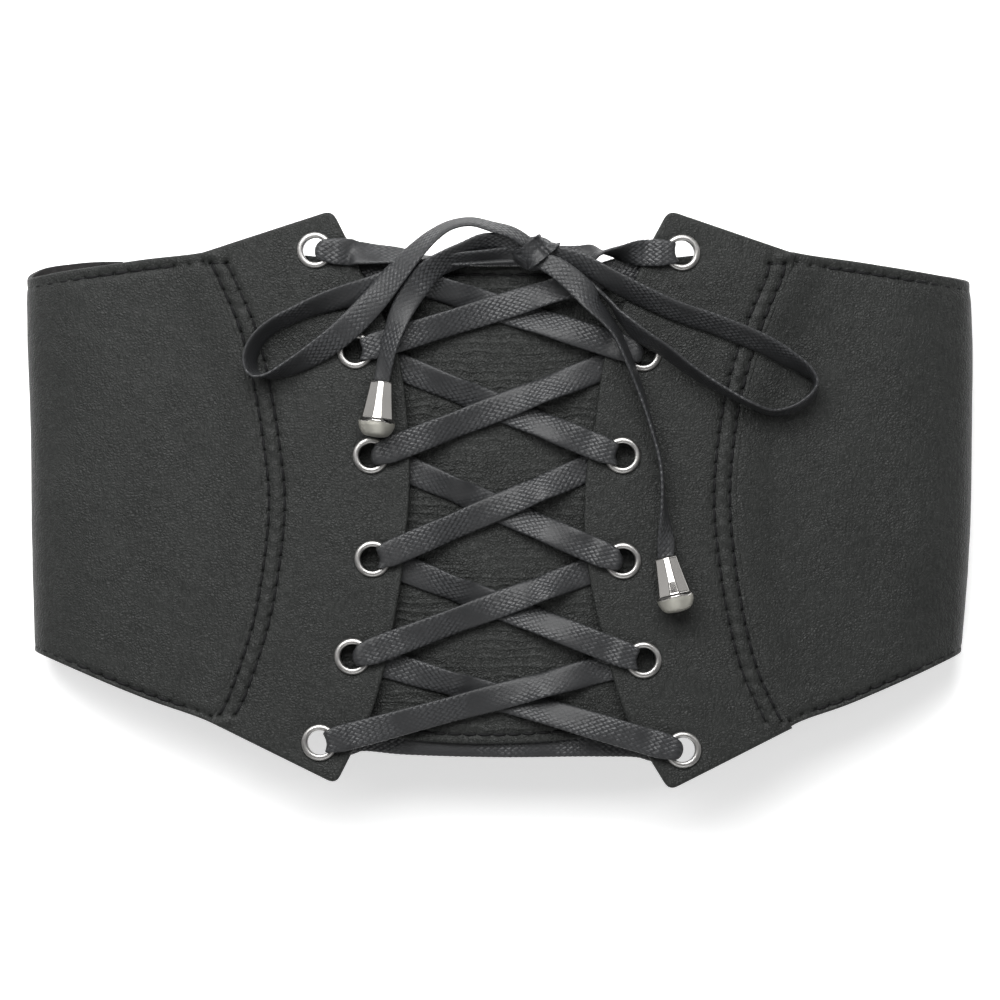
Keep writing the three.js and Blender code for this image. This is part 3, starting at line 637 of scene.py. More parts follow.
def leather_piece(name, outline, holes, place, heights, relief, finishes, rows):
    """A sheet of leather with rounded edges and rows of stitch holes. The relief is a function of
    the net's points."""
    settings = bpy.context.scene.belt_leather
    inner, outer = heights
    spots = np.vstack([spots_along(row, bpy.context.scene.belt_stitch.pitch) for row in rows])
    net, triangles = sheet_net(outline, holes, settings.spacing, spots)
    from_rim = rims_distance(net, [outline, *holes])
    round_out = min(settings.edge_round, MOST_ROUNDING * (outer - inner))
    round_in = 0.5 * round_out
    top = place(net, outer - rounding(from_rim, round_out) + relief(net, from_rim))
    bottom = place(net, inner + rounding(from_rim, round_in) + 0 * from_rim)
    if not faces_up(top, triangles, place, net, outer):
        triangles = triangles[:, ::-1]
    count = len(net)
    rims = rim_edges(triangles)
    walls = np.stack([rims[:, 1], rims[:, 0], rims[:, 0] + count, rims[:, 1] + count], 1)
    faces = triangles.tolist() + (triangles[:, ::-1] + count).tolist() + walls.tolist()
    index = [0] * len(triangles) + [1] * len(triangles) + [0] * len(walls)
    return new_piece(name, np.vstack([top, bottom]), faces, finishes, index)


def faces_up(top, triangles, place, net, outer):
    """Whether the triangles turn their front out of the belt."""
    sample = triangles[:: max(1, len(triangles) // 50)]
    a, b, c = (top[sample[:, k]] for k in range(3))
    corners = net[sample[:, 0]]
    level = outer + np.zeros(len(corners))
    out = place(corners, level + 0.001) - place(corners, level)
    return (np.cross(b - a, c - a) * out).sum() > 0


def outline_size(outline, holes):
    """Width, length and area of a flat outline."""
    def area(rim):
        ends = np.roll(rim, -1, axis=0)
        return abs((rim[:, 0] * ends[:, 1] - rim[:, 1] * ends[:, 0]).sum()) / 2

    width, length = outline.max(0) - outline.min(0)
    return float(width), float(length), float(area(outline) - sum(area(hole) for hole in holes))


# Outlines

# Distance between points along a rim, and along a curve through a table's rows
RIM_STEP = 0.0008
TABLE_STEP = 0.0005


def edge_line(table, side, shift=0.0):
    """A flap's long edge, in X and Y, from its top."""
    column = 1 if side == "left" else 2
    return smooth_line([(row[column] + shift, row[0]) for row in table], RIM_STEP)


def closed_outline(*lines):
    """Lines joined by straight stretches into one closed line."""
    stretches = []
    for line, following in zip(lines, [*lines[1:], lines[0]]):
        stretches += [line[:-1], straight_line(line[-1], following[0], RIM_STEP)[:-1]]
    return np.vstack([stretch for stretch in stretches if len(stretch)])


def flap_outline(side):
    corners = FLAP_CORNERS[side]
    inner = edge_line(INNER_EDGE, side)
    lap = edge_line(LAP_EDGE, side)[::-1]
    top_outer, bottom_outer = corners["top_outer"], corners["bottom_outer"]
    top_tip = rounded_corner(top_outer, corners["top_tip"], inner[0], TIP_ROUND)
    bottom_tip = rounded_corner(inner[-1], corners["bottom_tip"], bottom_outer, TIP_ROUND)
    return closed_outline([top_outer], top_tip, inner, bottom_tip, [bottom_outer], lap)


def side_edge(side, edge):
    """A side panel's top or bottom edge, by length round the loop and Y, from the back."""
    column = {"top": 1, "bottom": 2}[edge] + (0 if side == "left" else 2)
    end = crown_length(SIDE_FRONT_END)
    length = np.arange(0, end + RIM_STEP, RIM_STEP).clip(max=end)
    x, z = wall_point(length, 0.0)
    heights = []
    for table in (BACK_EDGES, FRONT_EDGES):
        curve = smooth_line([(row[0], row[column]) for row in table], TABLE_STEP)
        heights.append(np.interp(-x, *curve.T))
    y = np.pad(np.where(z < FOLD_ARCS[0][0], *heights), EDGE_SOFTENING // 2, mode="edge")
    kernel = np.hanning(EDGE_SOFTENING) / np.hanning(EDGE_SOFTENING).sum()
    return np.stack([length, np.convolve(y, kernel, mode="valid") + EDGE_SHIFT[edge]], 1)


def side_outline(side):
    mirror = 1 if side == "left" else -1
    top = side_edge(side, "top")
    bottom = side_edge(side, "bottom")
    under = line_length(edge_line(LAP_EDGE, side, mirror * LAP))
    return closed_outline(top, under, bottom[::-1])


def panel_edge(line, x):
    """Height of a long edge of the panel behind the lacing."""
    return np.minimum(line["height"] + line["rise"] * (x - line["middle"]) ** 2, line["limit"])


def panel_outline():
    x = np.arange(-PANEL_HALF_WIDTH, PANEL_HALF_WIDTH + RIM_STEP / 2, RIM_STEP)
    top = np.stack([x, panel_edge(PANEL_TOP, x)], 1)
    bottom = np.stack([x, panel_edge(PANEL_BOTTOM, x)], 1)
    return closed_outline(top, bottom[::-1])


# Seams

def spots_along(line, pitch):
    """The holes of a row of stitches: even points along its line."""
    return evenly(np.asarray(line, float), pitch, 2)


# A row of stitches sinks into the leather as two soft grooves in one, with a dimple at each hole:
# share of the groove's depth and reach
GROOVE_SHARES = ((0.6, 0.0007), (0.4, 0.0015))
DIMPLE_SHARE = (1.2, 0.00055)
GROOVE_REACH = 0.004  # farther from a row than this, the leather is left as it is


def hollow(distance, depth, reach):
    """A soft hollow, deepest at no distance."""
    return depth * np.exp(-(distance / reach) ** 2)


def seam_relief(points, rows, pitch, groove):
    """How far rows of stitches pull the leather down: a soft groove, deeper at each hole."""
    relief = np.zeros(len(points))
    for row in rows:
        near = rim_distance(points, row, closed=False)
        close = near < GROOVE_REACH
        if close.any():
            to_hole = point_distance(points[close], spots_along(row, pitch))
            relief[close] -= groove * sum(hollow(near[close], *share) for share in GROOVE_SHARES)
            relief[close] -= groove * hollow(to_hole, *DIMPLE_SHARE)
    return relief


STITCH_RINGS = 7
STITCH_SIDES = 7
STITCH_SHARE = 0.92  # of the way from one hole to the next, so stitches don't touch
STITCH_ARCH = 1.1  # height of a stitch's arch over its ends, in radii of its thread
STITCH_SINK = 0.9  # depth of its ends, in radii
STITCH_TAPER = 0.55  # share of its radius that a stitch loses at its ends


def sewn_row(row, place, height):
    """Points and faces of a row's stitches: each an arch of thread that goes into the leather."""
    settings = bpy.context.scene.belt_stitch
    holes = spots_along(row, settings.pitch)
    radius = settings.thread / 2
    t = np.linspace(-0.5, 0.5, STITCH_RINGS)
    lift = height + radius * (STITCH_ARCH * np.cos(math.pi * t) ** 0.6 - STITCH_SINK)
    size = radius * (1 - STITCH_TAPER * np.abs(2 * t) ** 4)
    faces = tube_faces(STITCH_RINGS, STITCH_SIDES) + ring_ends(STITCH_RINGS, STITCH_SIDES)
    stitches = []
    for start, end in zip(holes[:-1], holes[1:]):
        middles = start + (0.5 + STITCH_SHARE * t[:, None]) * (end - start)
        line = place(middles, lift)
        up = place(middles, lift + 0.001) - line
        up /= np.linalg.norm(up, axis=1)[:, None]
        across = np.cross(heading_of(line[0], line[-1]), up)
        _, out = spokes(STITCH_SIDES, across[:, None], up[:, None])
        stitches.append(((line[:, None] + size[:, None, None] * out).reshape(-1, 3), faces))
    return stitches


def joined_nets(nets):
    """The points and the faces of several nets as one."""
    faces = []
    start = 0
    for points, found in nets:
        faces.extend(tuple(index + start for index in face) for face in found)
        start += len(points)
    return np.vstack([points for points, _ in nets]), faces


def sew(name, rows, place, height):
    """One piece with all the stitches of the rows."""
    stitches = [stitch for row in rows for stitch in sewn_row(row, place, height)]
    piece = new_piece(name, *joined_nets(stitches), [belt_thread()])
    fix_normals(piece)
    return dress(piece, "leather")


def fix_normals(piece):
    """Turns every face's front outwards."""
    net = bmesh.new()
    net.from_mesh(piece.data)
    bmesh.ops.recalc_face_normals(net, faces=net.faces)
    net.to_mesh(piece.data)
    net.free()


# Distance of the two rows of a seam from the flap's lap edge, and of the places where they end
# from its corners
LAP_ROWS = (0.0022, 0.0071)
ROW_TOP = (0.0010, -0.0032)
ROW_BOTTOM = (0.0012, 0.0020)
ROW_BEND = 0.002  # length over which a row bends to its end
LAP_STEP = 0.0018  # the side panel rises by this to meet the flap's edge

# Distance of a side panel's rows from its top and bottom edges, from its back end and, at their
# ends, from its front's lap
EDGE_ROWS = {"top": -0.0032, "bottom": 0.0019}
BACK_ROWS = (0.0035, 0.0075)
BACK_ROW_ENDS = (0.004, -0.005)
SIDE_ROWS_START = 0.003
SIDE_ROWS_END = {"left": 0.0915, "right": 0.0910}
PANEL_ROW = 0.0029
PANEL_ROW_END = 0.004


def lap_rows(side):
    """The two rows that sew a flap to its side panel, and the short row across their top."""
    inward = 1 if side == "left" else -1
    corners = FLAP_CORNERS[side]
    rows = []
    for inset in LAP_ROWS:
        line = edge_line(LAP_EDGE, side, inward * inset)
        top, bottom = (
            np.array(corners[corner]) + [inward * (inset + shift), rise]
            for corner, (shift, rise) in (("top_outer", ROW_TOP), ("bottom_outer", ROW_BOTTOM)))
        keep = (line[:, 1] < top[1] - ROW_BEND) & (line[:, 1] > bottom[1] + ROW_BEND)
        rows.append(smooth_line([top, *line[keep][::6], bottom], RIM_STEP))
    rows.append(evenly(np.array([rows[0][0], rows[1][0]]), RIM_STEP, 2))
    return rows


def side_rows(side):
    """The rows along a side panel's long edges and its back end, by length and Y."""
    rows = []
    lap = crown_length(SIDE_ROWS_END[side])
    for edge, inset in EDGE_ROWS.items():
        line = side_edge(side, edge)
        rows.append(line[(line[:, 0] > SIDE_ROWS_START) & (line[:, 0] < lap)] + [0, inset])
    for back in BACK_ROWS:
        ends = [(back, np.interp(back, *side_edge(side, edge).T) + inset)
                for edge, inset in zip(("bottom", "top"), BACK_ROW_ENDS)]
        rows.append(straight_line(*ends, RIM_STEP))
    return rows


def panel_rows():
    """The rows along the long edges of the panel behind the lacing, in X and Y."""
    end = PANEL_HALF_WIDTH - PANEL_ROW_END
    x = np.arange(-end, end, RIM_STEP)
    return [np.stack([x, panel_edge(edge, x) + inset], 1)
            for edge, inset in ((PANEL_TOP, -PANEL_ROW), (PANEL_BOTTOM, PANEL_ROW))]


# Lace

# Places across half of the lace's section, closer together at its rounded edge
HALF_SECTION = (1.0, 0.975, 0.92, 0.82, 0.62, 0.40, 0.20, 0.0)
LACE_FULLNESS = 7  # a higher one gives a flatter lace with smaller roundings
SCALLOP = (0.012, 0.0017)  # share of the width that the braid's edge goes in and out by, and pitch
RIDGE_WAVES = 3.2  # half waves across a gathered lace


def lace_section():
    """The lace's section round its edge: place across from -1 to 1, and height from -1 to 1."""
    across = np.array([-v for v in HALF_SECTION] + [*HALF_SECTION[-2::-1]])
    height = (1 - np.abs(across) ** LACE_FULLNESS) ** 0.5
    return np.append(across, across[-2:0:-1]), np.append(height, -height[-2:0:-1])


def lace_net(route, closed=False, ridges=0.0):
    """Points, faces and braid coordinates of a lace. The route's columns are the place, the
    direction of its width, the width and how far its middle is cupped."""
    place = route[:, :3]
    if closed:
        run = np.roll(place, -1, axis=0) - np.roll(place, 1, axis=0)
    else:
        run = np.gradient(place, axis=0)
    run /= np.linalg.norm(run, axis=1)[:, None]
    across = route[:, 3:6]
    across = across - (across * run).sum(1)[:, None] * run
    across /= np.linalg.norm(across, axis=1)[:, None]
    normal = np.cross(run, across)
    along = lengths_along(place)
    scallop, pitch = SCALLOP
    half_width = route[:, 6] / 2 * (1 + scallop * np.sin(along * 2 * math.pi / pitch))
    section_across, section_height = lace_section()
    sides = len(section_across)
    out = half_width[:, None] * section_across
    lift = section_height * HALF_LACE + route[:, 7][:, None] * (1 - section_across ** 2)
    lift += ridges * np.cos(section_across * RIDGE_WAVES * math.pi)
    points = place[:, None] + across[:, None] * out[..., None] + normal[:, None] * lift[..., None]
    faces = tube_faces(len(place), sides, closed)
    if not closed:
        faces += ring_ends(len(place), sides)
    braid = np.stack([np.repeat(along, sides), out.reshape(-1), np.zeros(out.size)], 1)
    return points.reshape(-1, 3), faces, braid


def lace_piece(name, *nets):
    """One piece from one or more lace nets, with the braid's coordinates kept on its points."""
    piece = new_piece(name, *joined_nets([net[:2] for net in nets]), [belt_lace()])
    braid = np.vstack([net[2] for net in nets]).astype(np.float32)
    stored = piece.data.attributes.new("braid", "FLOAT_VECTOR", "POINT")
    stored.data.foreach_set("vector", braid.ravel())
    fix_normals(piece)
    return piece


def free_route(rows, step, tuck=None):
    """A lace's route from rows of X, Y, lift, lean and width. A tuck is a last place that the
    end goes on to, inside the piece that holds it."""
    rows = np.array(rows, float)
    line = smooth_line(rows, step, 3)
    x, y, lift, lean, width = line.T
    place = over_flap(x, y, lift)
    run = np.gradient(place[:, :2], axis=0)
    left = np.stack([-run[:, 1], run[:, 0], 0 * x], 1) / np.linalg.norm(run, axis=1)[:, None]
    lean = np.radians(lean)[:, None]
    across = np.cos(lean) * left + np.sin(lean) * crown_normal(x)
    route = np.hstack([place, across, width[:, None], 0 * width[:, None]])
    if tuck is not None:
        last = route[-1].copy()
        last[:3] = tuck
        route = np.vstack([route, last])
    return route


BORE_SHIFT = 0.0018  # the lace lies this far from a bore's middle, towards the belt's middle
BEND = 0.00105  # radius of the lace's bends in a bore
BORE_CUP = 0.0011  # and how far its middle is cupped there
FLAP_REACH = 0.015  # a strand lies as its eyelets make it up to this distance from them
# X and Y of the bar behind the panel's bottom edge, from the right to the left
BOTTOM_BAR = (
    (0.0440, -0.0767), (0.0300, -0.0763), (0.0, -0.0765), (-0.0300, -0.0757), (-0.0440, -0.0747),
)


def in_bore(eyelet):
    """X and Y of the lace in an eyelet."""
    x, y = eyelet
    return np.array([x - math.copysign(BORE_SHIFT, x), y])


def heading_of(start, end):
    """The direction from one place to another."""
    run = end - start
    return run / np.linalg.norm(run)


def left_of(direction):
    """The flat direction to the left of one in X and Y."""
    return np.array([-direction[1], direction[0], 0.0])


def through_eyelet(bore, incoming, outgoing, sign, under):
    """Rows of the lace up through an eyelet: in under the flap and out over it."""
    normal = crown_normal(bore[0])
    tangent = np.array([normal[2], 0.0, -normal[0]])
    origin = over_flap(bore[0], bore[1], 0.0)
    across_in = left_of(incoming) * sign
    across_out = left_of(outgoing) * -sign
    across_bore = across_in + across_out
    across_bore /= np.linalg.norm(across_bore)
    back = -incoming
    turn = BEND * (1 - math.sqrt(0.5))
    cup = BORE_CUP * (1 if bore[0] * np.cross([0, 0, 1], across_bore)[0] < 0 else -1)
    # Direction, distance along it, height over the flaps, direction of the width, width, cup
    rows = (
        (back, BEND + 0.0050, under, across_in, LACE_WIDTH, 0.0),
        (back, BEND + 0.0010, under, across_in, 0.0068, 0.0),
        (back, BEND, under, across_in, 0.0064, 0.2 * cup),
        (back, turn, under + turn, across_bore, LACE_IN_BORE, 0.8 * cup),
        (back, 0.0, under + BEND, across_bore, LACE_IN_BORE, cup),
        (outgoing, 0.0, LACE_ON_RING - BEND, across_bore, LACE_IN_BORE, cup),
        (outgoing, turn, LACE_ON_RING - turn, across_bore, 0.0064, 0.8 * cup),
        (outgoing, BEND, LACE_ON_RING, across_out, 0.0068, 0.3 * cup),
        (outgoing, BEND + 0.0025, LACE_ON_RING, across_out, 0.0080, 0.0),
        (outgoing, BEND + 0.0047, LACE_ON_RING, across_out, LACE_WIDTH, 0.0),
        (outgoing, BEND + 0.0080, LACE_ON_LEATHER, across_out, LACE_WIDTH, 0.0),
    )
    stations = []
    for direction, distance, lift, across, width, cupped in rows:
        place = origin + tangent * direction[0] * distance
        place = place + np.array([0, direction[1] * distance, 0]) + normal * lift
        stations.append([*place, *across, width, cupped])
    return stations


# How a strand's lace leans, its upper edge towards the belt's top: distance from the crossing,
# lean in degrees and how far it lifts its middle. A strand that rises to the right passes over.
STRAND_LEAN = {
    "left": (
        (-0.015, 20, 0.0010), (-0.008, 12, 0.0004), (0.0, -2, 0.0), (0.008, -13, 0.0004),
        (0.015, -26, 0.0015),
    ),
    "right": (
        (-0.015, -20, 0.0010), (-0.008, -10, 0.0002), (0.0, 2, 0.0), (0.008, 10, 0.0),
        (0.015, 26, 0.0015),
    ),
}
CROSSING_HEIGHT = {"left": LACE_CROSSING_HIGH, "right": LACE_UNDER_FLAP}
EYELET_LEANS = (6, 4)  # lean of a strand where it leaves its first eyelet and meets its second


def strand_middle(start, end, crossing, first, sign):
    """Rows of a strand's middle: over the near flap, past its crossing and under the far flap."""
    length = np.linalg.norm(end - start)
    direction = heading_of(start, end)
    flat = left_of(direction)
    north = math.copysign(1, flat[1])
    height = CROSSING_HEIGHT[first]
    rows = [(FLAP_REACH, LACE_ON_LEATHER, EYELET_LEANS[0])]
    rows += [(crossing + offset, height + lift, lean) for offset, lean, lift in STRAND_LEAN[first]]
    rows.append((length - FLAP_REACH, LACE_UNDER_FLAP, EYELET_LEANS[1]))
    stations = []
    for distance, lift, lean in rows:
        x, y = start + direction * distance
        angle = math.radians(lean) * north
        across = (math.cos(angle) * flat + math.sin(angle) * crown_normal(x)) * sign
        stations.append([*over_flap(x, y, lift), *across, LACE_WIDTH, 0.0])
    return stations


def crossing_distance(a, b, c, d):
    """How far along the strand from a to b it meets the strand from c to d."""
    one = heading_of(a, b)
    other = heading_of(c, d)
    between = c - a
    return (between[0] * other[1] - between[1] * other[0]) / (one[0] * other[1] - one[1] * other[0])


def lace_half(first, sign, top_rows):
    """One half of the lacing, from the bottom bar's middle up through an eyelet of each pair."""
    sides = ("left", "right") if first == "left" else ("right", "left")
    bores, partners = (
        [in_bore(EYELETS[sides[(i + other) % 2]][-1 - i]) for i in range(PAIRS)]
        for other in (0, 1))
    incoming = heading_of((bores[0] + partners[0]) / 2, bores[0])
    stations = []
    side = sign
    for i, bore in enumerate(bores):
        under = LACE_BEHIND_PANEL if i == 0 else LACE_UNDER_FLAP
        last = i == PAIRS - 1
        target = np.array(top_rows[0][:2]) if last else bores[i + 1]
        outgoing = heading_of(bore, target)
        stations += through_eyelet(bore, incoming, outgoing, side, under)
        side = -side
        if not last:
            meets = crossing_distance(bore, target, partners[i], partners[i + 1])
            stations += strand_middle(bore, target, meets, sides[i % 2], side)
        incoming = outgoing
    top = free_route(top_rows, 0.003)
    top[:, 3:6] *= side
    return np.vstack([stations, top])


# Finishes

def new_finish(name, colour, roughness, specular=0.5, metallic=0.0):
    """A material with its Principled shader, and its node tree."""
    finish = bpy.data.materials.new(name)
    finish.use_nodes = True
    tree = finish.node_tree
    shader = tree.nodes["Principled BSDF"]
    feed(tree, shader, base_color=(*colour, 1), roughness=roughness, metallic=metallic)
    shader.inputs["Specular IOR Level"].default_value = specular
    return finish, tree, shader


def plug(tree, socket, value):
    """Gives an input a value, or links it to an output."""
    if isinstance(value, bpy.types.NodeSocket):
        tree.links.new(value, socket)
    else:
        socket.default_value = value


def feed(tree, node, **inputs):
    """Gives a node's inputs, named as in Blender, their values or links."""
    for name, value in inputs.items():
        plug(tree, node.inputs[name.replace("_", " ").title()], value)
    return node


def add_node(tree, kind, options=(), **inputs):
    """A node with its options and its inputs set."""
    node = tree.nodes.new(kind)
    for name, value in dict(options).items():
        setattr(node, name, value)
    return feed(tree, node, **inputs)


def object_place(tree):
    return tree.nodes.new("ShaderNodeTexCoord").outputs["Object"]


def noise(tree, place, scale, detail=2.0, roughness=0.5):
    return add_node(tree, "ShaderNodeTexNoise", vector=place, scale=scale, detail=detail,
                    roughness=roughness).outputs["Fac"]


def maths(tree, operation, *inputs):
    node = add_node(tree, "ShaderNodeMath", {"operation": operation})
    for socket, value in zip(node.inputs, inputs):
        plug(tree, socket, value)
    return node.outputs[0]


def joined(tree, operation, parts):
    """Parts combined one after another by a maths node each."""
    total, *rest = parts
    for part in rest:
        total = maths(tree, operation, total, part)
    return total


def plus(tree, *parts):
    return joined(tree, "ADD", parts)


def times(tree, *parts):
    return joined(tree, "MULTIPLY", parts)


def half_waves(tree, place, pitch=1):
    """Rounded ridges, one for each pitch of the place."""
    return maths(tree, "ABSOLUTE", maths(tree, "SINE", times(tree, place, math.pi / pitch)))


def axes(tree, vector):
    """The three parts of a vector, by X, Y and Z."""
    return add_node(tree, "ShaderNodeSeparateXYZ", vector=vector).outputs


def ramp(tree, factor, *stops):
    """A colour ramp; each stop is a position and a colour or a grey."""
    node = add_node(tree, "ShaderNodeValToRGB", fac=factor)
    while len(node.color_ramp.elements) < len(stops):
        node.color_ramp.elements.new(0.5)
    for element, (position, value) in zip(node.color_ramp.elements, stops):
        element.position = position
        element.color = (*value, 1) if hasattr(value, "__len__") else (value, value, value, 1)
    return node.outputs["Color"]


def shades(tree, factor, colour, *stops):
    """A ramp of shades of one colour; each stop is a position and a share of the colour."""
    return ramp(tree, factor, *(
        (position, tuple(min(1.0, part * share) for part in colour)) for position, share in stops))


def bump(tree, height, distance, strength=1.0, normal=None):
    node = add_node(tree, "ShaderNodeBump", height=height, distance=distance, strength=strength)
    if normal is not None:
        feed(tree, node, normal=normal)
    return node.outputs["Normal"]


# Depths of the leather's relief: on the belt and on the panel behind the lacing, whose wrinkles
# run across it
BELT_RELIEF = 2.2
PANEL_RELIEF = 3.0
PANEL_WRINKLES = 0.00022
PEBBLE_DEPTH = 0.00013
DENT_DEPTH = 0.00025


def leather_finish(name, relief=BELT_RELIEF, wrinkles=0.0):
    """Satin leather: fine pebbles of uneven depth and drawn out creases, with a painted
    highlight on the high spots.
    """
    settings = bpy.context.scene.belt_leather
    finish, tree, shader = new_finish(name, settings.colour, 0.52, specular=0.22)
    place = object_place(tree)
    warp = add_node(tree, "ShaderNodeTexNoise", vector=place, scale=0.5 / settings.grain_size)
    shift = add_node(tree, "ShaderNodeVectorMath", {"operation": "SCALE"},
                     vector=warp.outputs["Color"], scale=1.1 * settings.grain_size)
    moved = add_node(tree, "ShaderNodeVectorMath", {"operation": "ADD"}, vector=place)
    plug(tree, moved.inputs[1], shift.outputs["Vector"])
    moved = moved.outputs["Vector"]
    cells = add_node(tree, "ShaderNodeTexVoronoi", {"feature": "DISTANCE_TO_EDGE"},
                     vector=moved, scale=1 / settings.grain_size)
    pebble = maths(tree, "SMOOTH_MIN", times(tree, cells.outputs["Distance"], 2.2), 0.8, 0.5)
    depth = ramp(tree, noise(tree, place, 110, 3.0, 0.6), (0.32, 0.30), (0.68, 1.0))
    drawn = add_node(tree, "ShaderNodeMapping", vector=moved, rotation=(0, 0, 0.25),
                     scale=(1.0, 0.30, 1.0))
    fine = noise(tree, drawn.outputs["Vector"], 1.3 / settings.grain_size, 3.0, 0.6)
    height = plus(tree, times(tree, pebble, depth), times(tree, fine, 1.3))
    dents = noise(tree, place, 300, 3.0, 0.6)
    normal = bump(tree, height, PEBBLE_DEPTH * relief, 0.85)
    normal = bump(tree, dents, DENT_DEPTH * relief, 0.4, normal)
    # Tones of the colour: a random tone, the fine grain, and a painted highlight that lightens the
    # pebbles' crowns.
    tones = [times(tree, noise(tree, place, 60, 5.0, 0.65), 0.30), times(tree, pebble, 0.30),
             times(tree, fine, 0.85)]
    if wrinkles:
        bands = add_node(tree, "ShaderNodeTexWave", {"bands_direction": "Y"}, vector=place,
                         scale=112.0, distortion=5.0, detail=2.0, detail_scale=1.0)
        patches = ramp(tree, noise(tree, place, 45, 2.0), (0.32, 0.2), (0.60, 1.0))
        ridges = times(tree, maths(tree, "POWER", bands.outputs["Fac"], 3.0), patches)
        normal = bump(tree, ridges, wrinkles, 0.8, normal)
        # Painted highlight: the wrinkles' ridges are painted lighter.
        tones.append(times(tree, ridges, 0.16))
    feed(tree, shader, normal=normal,
         base_color=shades(tree, plus(tree, *tones), settings.colour, (0.45, 0.62), (0.95, 1.42)),
         roughness=ramp(tree, height, (0.2, 0.60), (1.3, 0.46)))
    return finish


def lining_finish():
    """The inside of the leather: a matt knitted backing."""
    settings = bpy.context.scene.belt_leather
    finish, tree, shader = new_finish("lining", settings.lining, 0.85, specular=0.25)
    place = object_place(tree)
    spots = noise(tree, place, 500, 3.0)
    feed(tree, shader, normal=bump(tree, noise(tree, place, 1600), 0.0003, 0.6),
         base_color=shades(tree, spots, settings.lining, (0.3, 0.7), (0.7, 1.3)))
    return finish


def lace_finish():
    """A waxed flat braid: two sets of yarns that pass over and under each other on the slant. In
    places waxing fills and smooths the braid. The colour carries painted light: a painted highlight
    on the yarns' crowns, and painted shade in the hollows and the smooth waxed patches."""
    settings = bpy.context.scene.belt_lace
    finish, tree, shader = new_finish("lace_braid", settings.colour, 0.40, specular=0.45)
    braid = add_node(tree, "ShaderNodeAttribute", {"attribute_name": "braid"}).outputs["Vector"]
    parts = axes(tree, braid)
    wander = times(tree, noise(tree, braid, 700, 1.0), 0.35)
    along = plus(tree, times(tree, parts["X"], 0.60 / settings.braid), wander)
    across = times(tree, parts["Y"], 0.82 / settings.braid)
    rising = plus(tree, along, across)
    falling = maths(tree, "SUBTRACT", along, across)
    cells = plus(tree, maths(tree, "FLOOR", rising), maths(tree, "FLOOR", falling))
    over = maths(tree, "FLOORED_MODULO", cells, 2.0)
    first = half_waves(tree, rising)
    second = half_waves(tree, falling)
    under = maths(tree, "SUBTRACT", 1.0, over)
    yarn = plus(tree, times(tree, first, over), times(tree, second, under))
    height = plus(tree, times(tree, yarn, 0.55), times(tree, first, second, 0.5))
    # Patches where the braid is waxed smooth; the colour below also paints them darker, as painted
    # shade.
    wax_and_painted_shade = ramp(tree, noise(tree, object_place(tree), 75, 3.0, 0.6), (0.40, 0.16), (0.60, 1.0))
    # The braid's relief, flattened in the waxed patches: it drives the bump, the roughness and the
    # painted light of the colour.
    mottling = times(tree, height, wax_and_painted_shade)
    fine = bump(tree, noise(tree, object_place(tree), 4200, 2.0, 0.6), 0.00005, 0.6)
    # The colour is painted light: a painted highlight on the yarns' crowns, and painted shade in
    # the hollows and the waxed patches.
    feed(tree, shader, normal=bump(tree, mottling, 0.00020, 0.9, fine),
         base_color=shades(tree, mottling, settings.colour, (0.10, 0.72), (0.85, 1.45)),
         roughness=ramp(tree, mottling, (0.1, 0.50), (0.8, 0.36)))
    return finish


def metal_finish(name, colour, roughness):
    """Plated metal with faint wear."""
    finish, tree, shader = new_finish(name, colour, roughness, metallic=1.0)
    place = object_place(tree)
    mottling = noise(tree, place, 260, 4.0, 0.6)
    tarnish = noise(tree, place, 90, 3.0)
    feed(tree, shader, base_color=shades(tree, tarnish, colour, (0.3, 0.93), (0.7, 1.05)),
         roughness=ramp(tree, mottling, (0.3, roughness * 0.85), (0.75, roughness * 1.2)))
    return finish


def thread_finish():
    """Matt sewing thread."""
    settings = bpy.context.scene.belt_stitch
    finish, tree, shader = new_finish("sewing_thread", settings.colour, 0.75, specular=0.15)
    place = object_place(tree)
    plies = noise(tree, place, 900)
    feed(tree, shader, normal=bump(tree, noise(tree, place, 4000, 1.0), 0.00006, 0.7),
         base_color=shades(tree, plies, settings.colour, (0.3, 0.7), (0.7, 1.6)))
    return finish


def elastic_finish():
    """Ribbed elastic webbing: fine cross threads over the modelled ribs."""
    settings = bpy.context.scene.belt_elastic
    finish, tree, shader = new_finish("elastic_webbing", settings.colour, 0.85, specular=0.2)
    place = object_place(tree)
    threads = half_waves(tree, axes(tree, place)["X"], ELASTIC_THREAD)
    height = plus(tree, threads, times(tree, noise(tree, place, 3000), 0.6))
    # The colour follows the threads' relief: a painted highlight on their crowns and painted shade
    # in the hollows between them.
    feed(tree, shader, normal=bump(tree, height, 0.00012, 0.8),
         base_color=shades(tree, height, settings.colour, (0.3, 0.6), (1.2, 1.5)))
    return finish


def floor_finish():
    """A pale floor that glows a little, so the belt's shadow on it stays faint."""
    colour = bpy.context.scene.belt_stage.floor_colour
    finish, tree, shader = new_finish("floor", colour, 0.9, specular=0.1)
    feed(tree, shader, emission_color=(*colour, 1), emission_strength=FLOOR_GLOW)
    return finish


def finish_named(name, maker, *values):
    """A finish that several pieces share, made the first time."""
    return bpy.data.materials.get(name) or maker(*values)


def leathers(name, *values):
    """The finishes of a leather piece: its outside and its lining."""
    outside = finish_named(name, leather_finish, name, *values)
    return [outside, finish_named("lining", lining_finish)]


def plating(name, colour, roughness):
    return finish_named(name, metal_finish, name, colour, roughness)


def belt_lace():
    return finish_named("lace_braid", lace_finish)


def belt_thread():
    return finish_named("sewing_thread", thread_finish)


# Operators

def add_light(name, place, aim, size, power):
    """A white softbox."""
    data = bpy.data.lights.new(name, "AREA")
    data.shape = "RECTANGLE"
    data.size, data.size_y = size
    data.energy = power
    lamp = bpy.data.objects.new(name, data)
    lamp.location = place
    lamp.rotation_euler = (Vector(aim) - Vector(place)).to_track_quat("-Z", "Y").to_euler()
    bpy.context.scene.collection.objects.link(lamp)


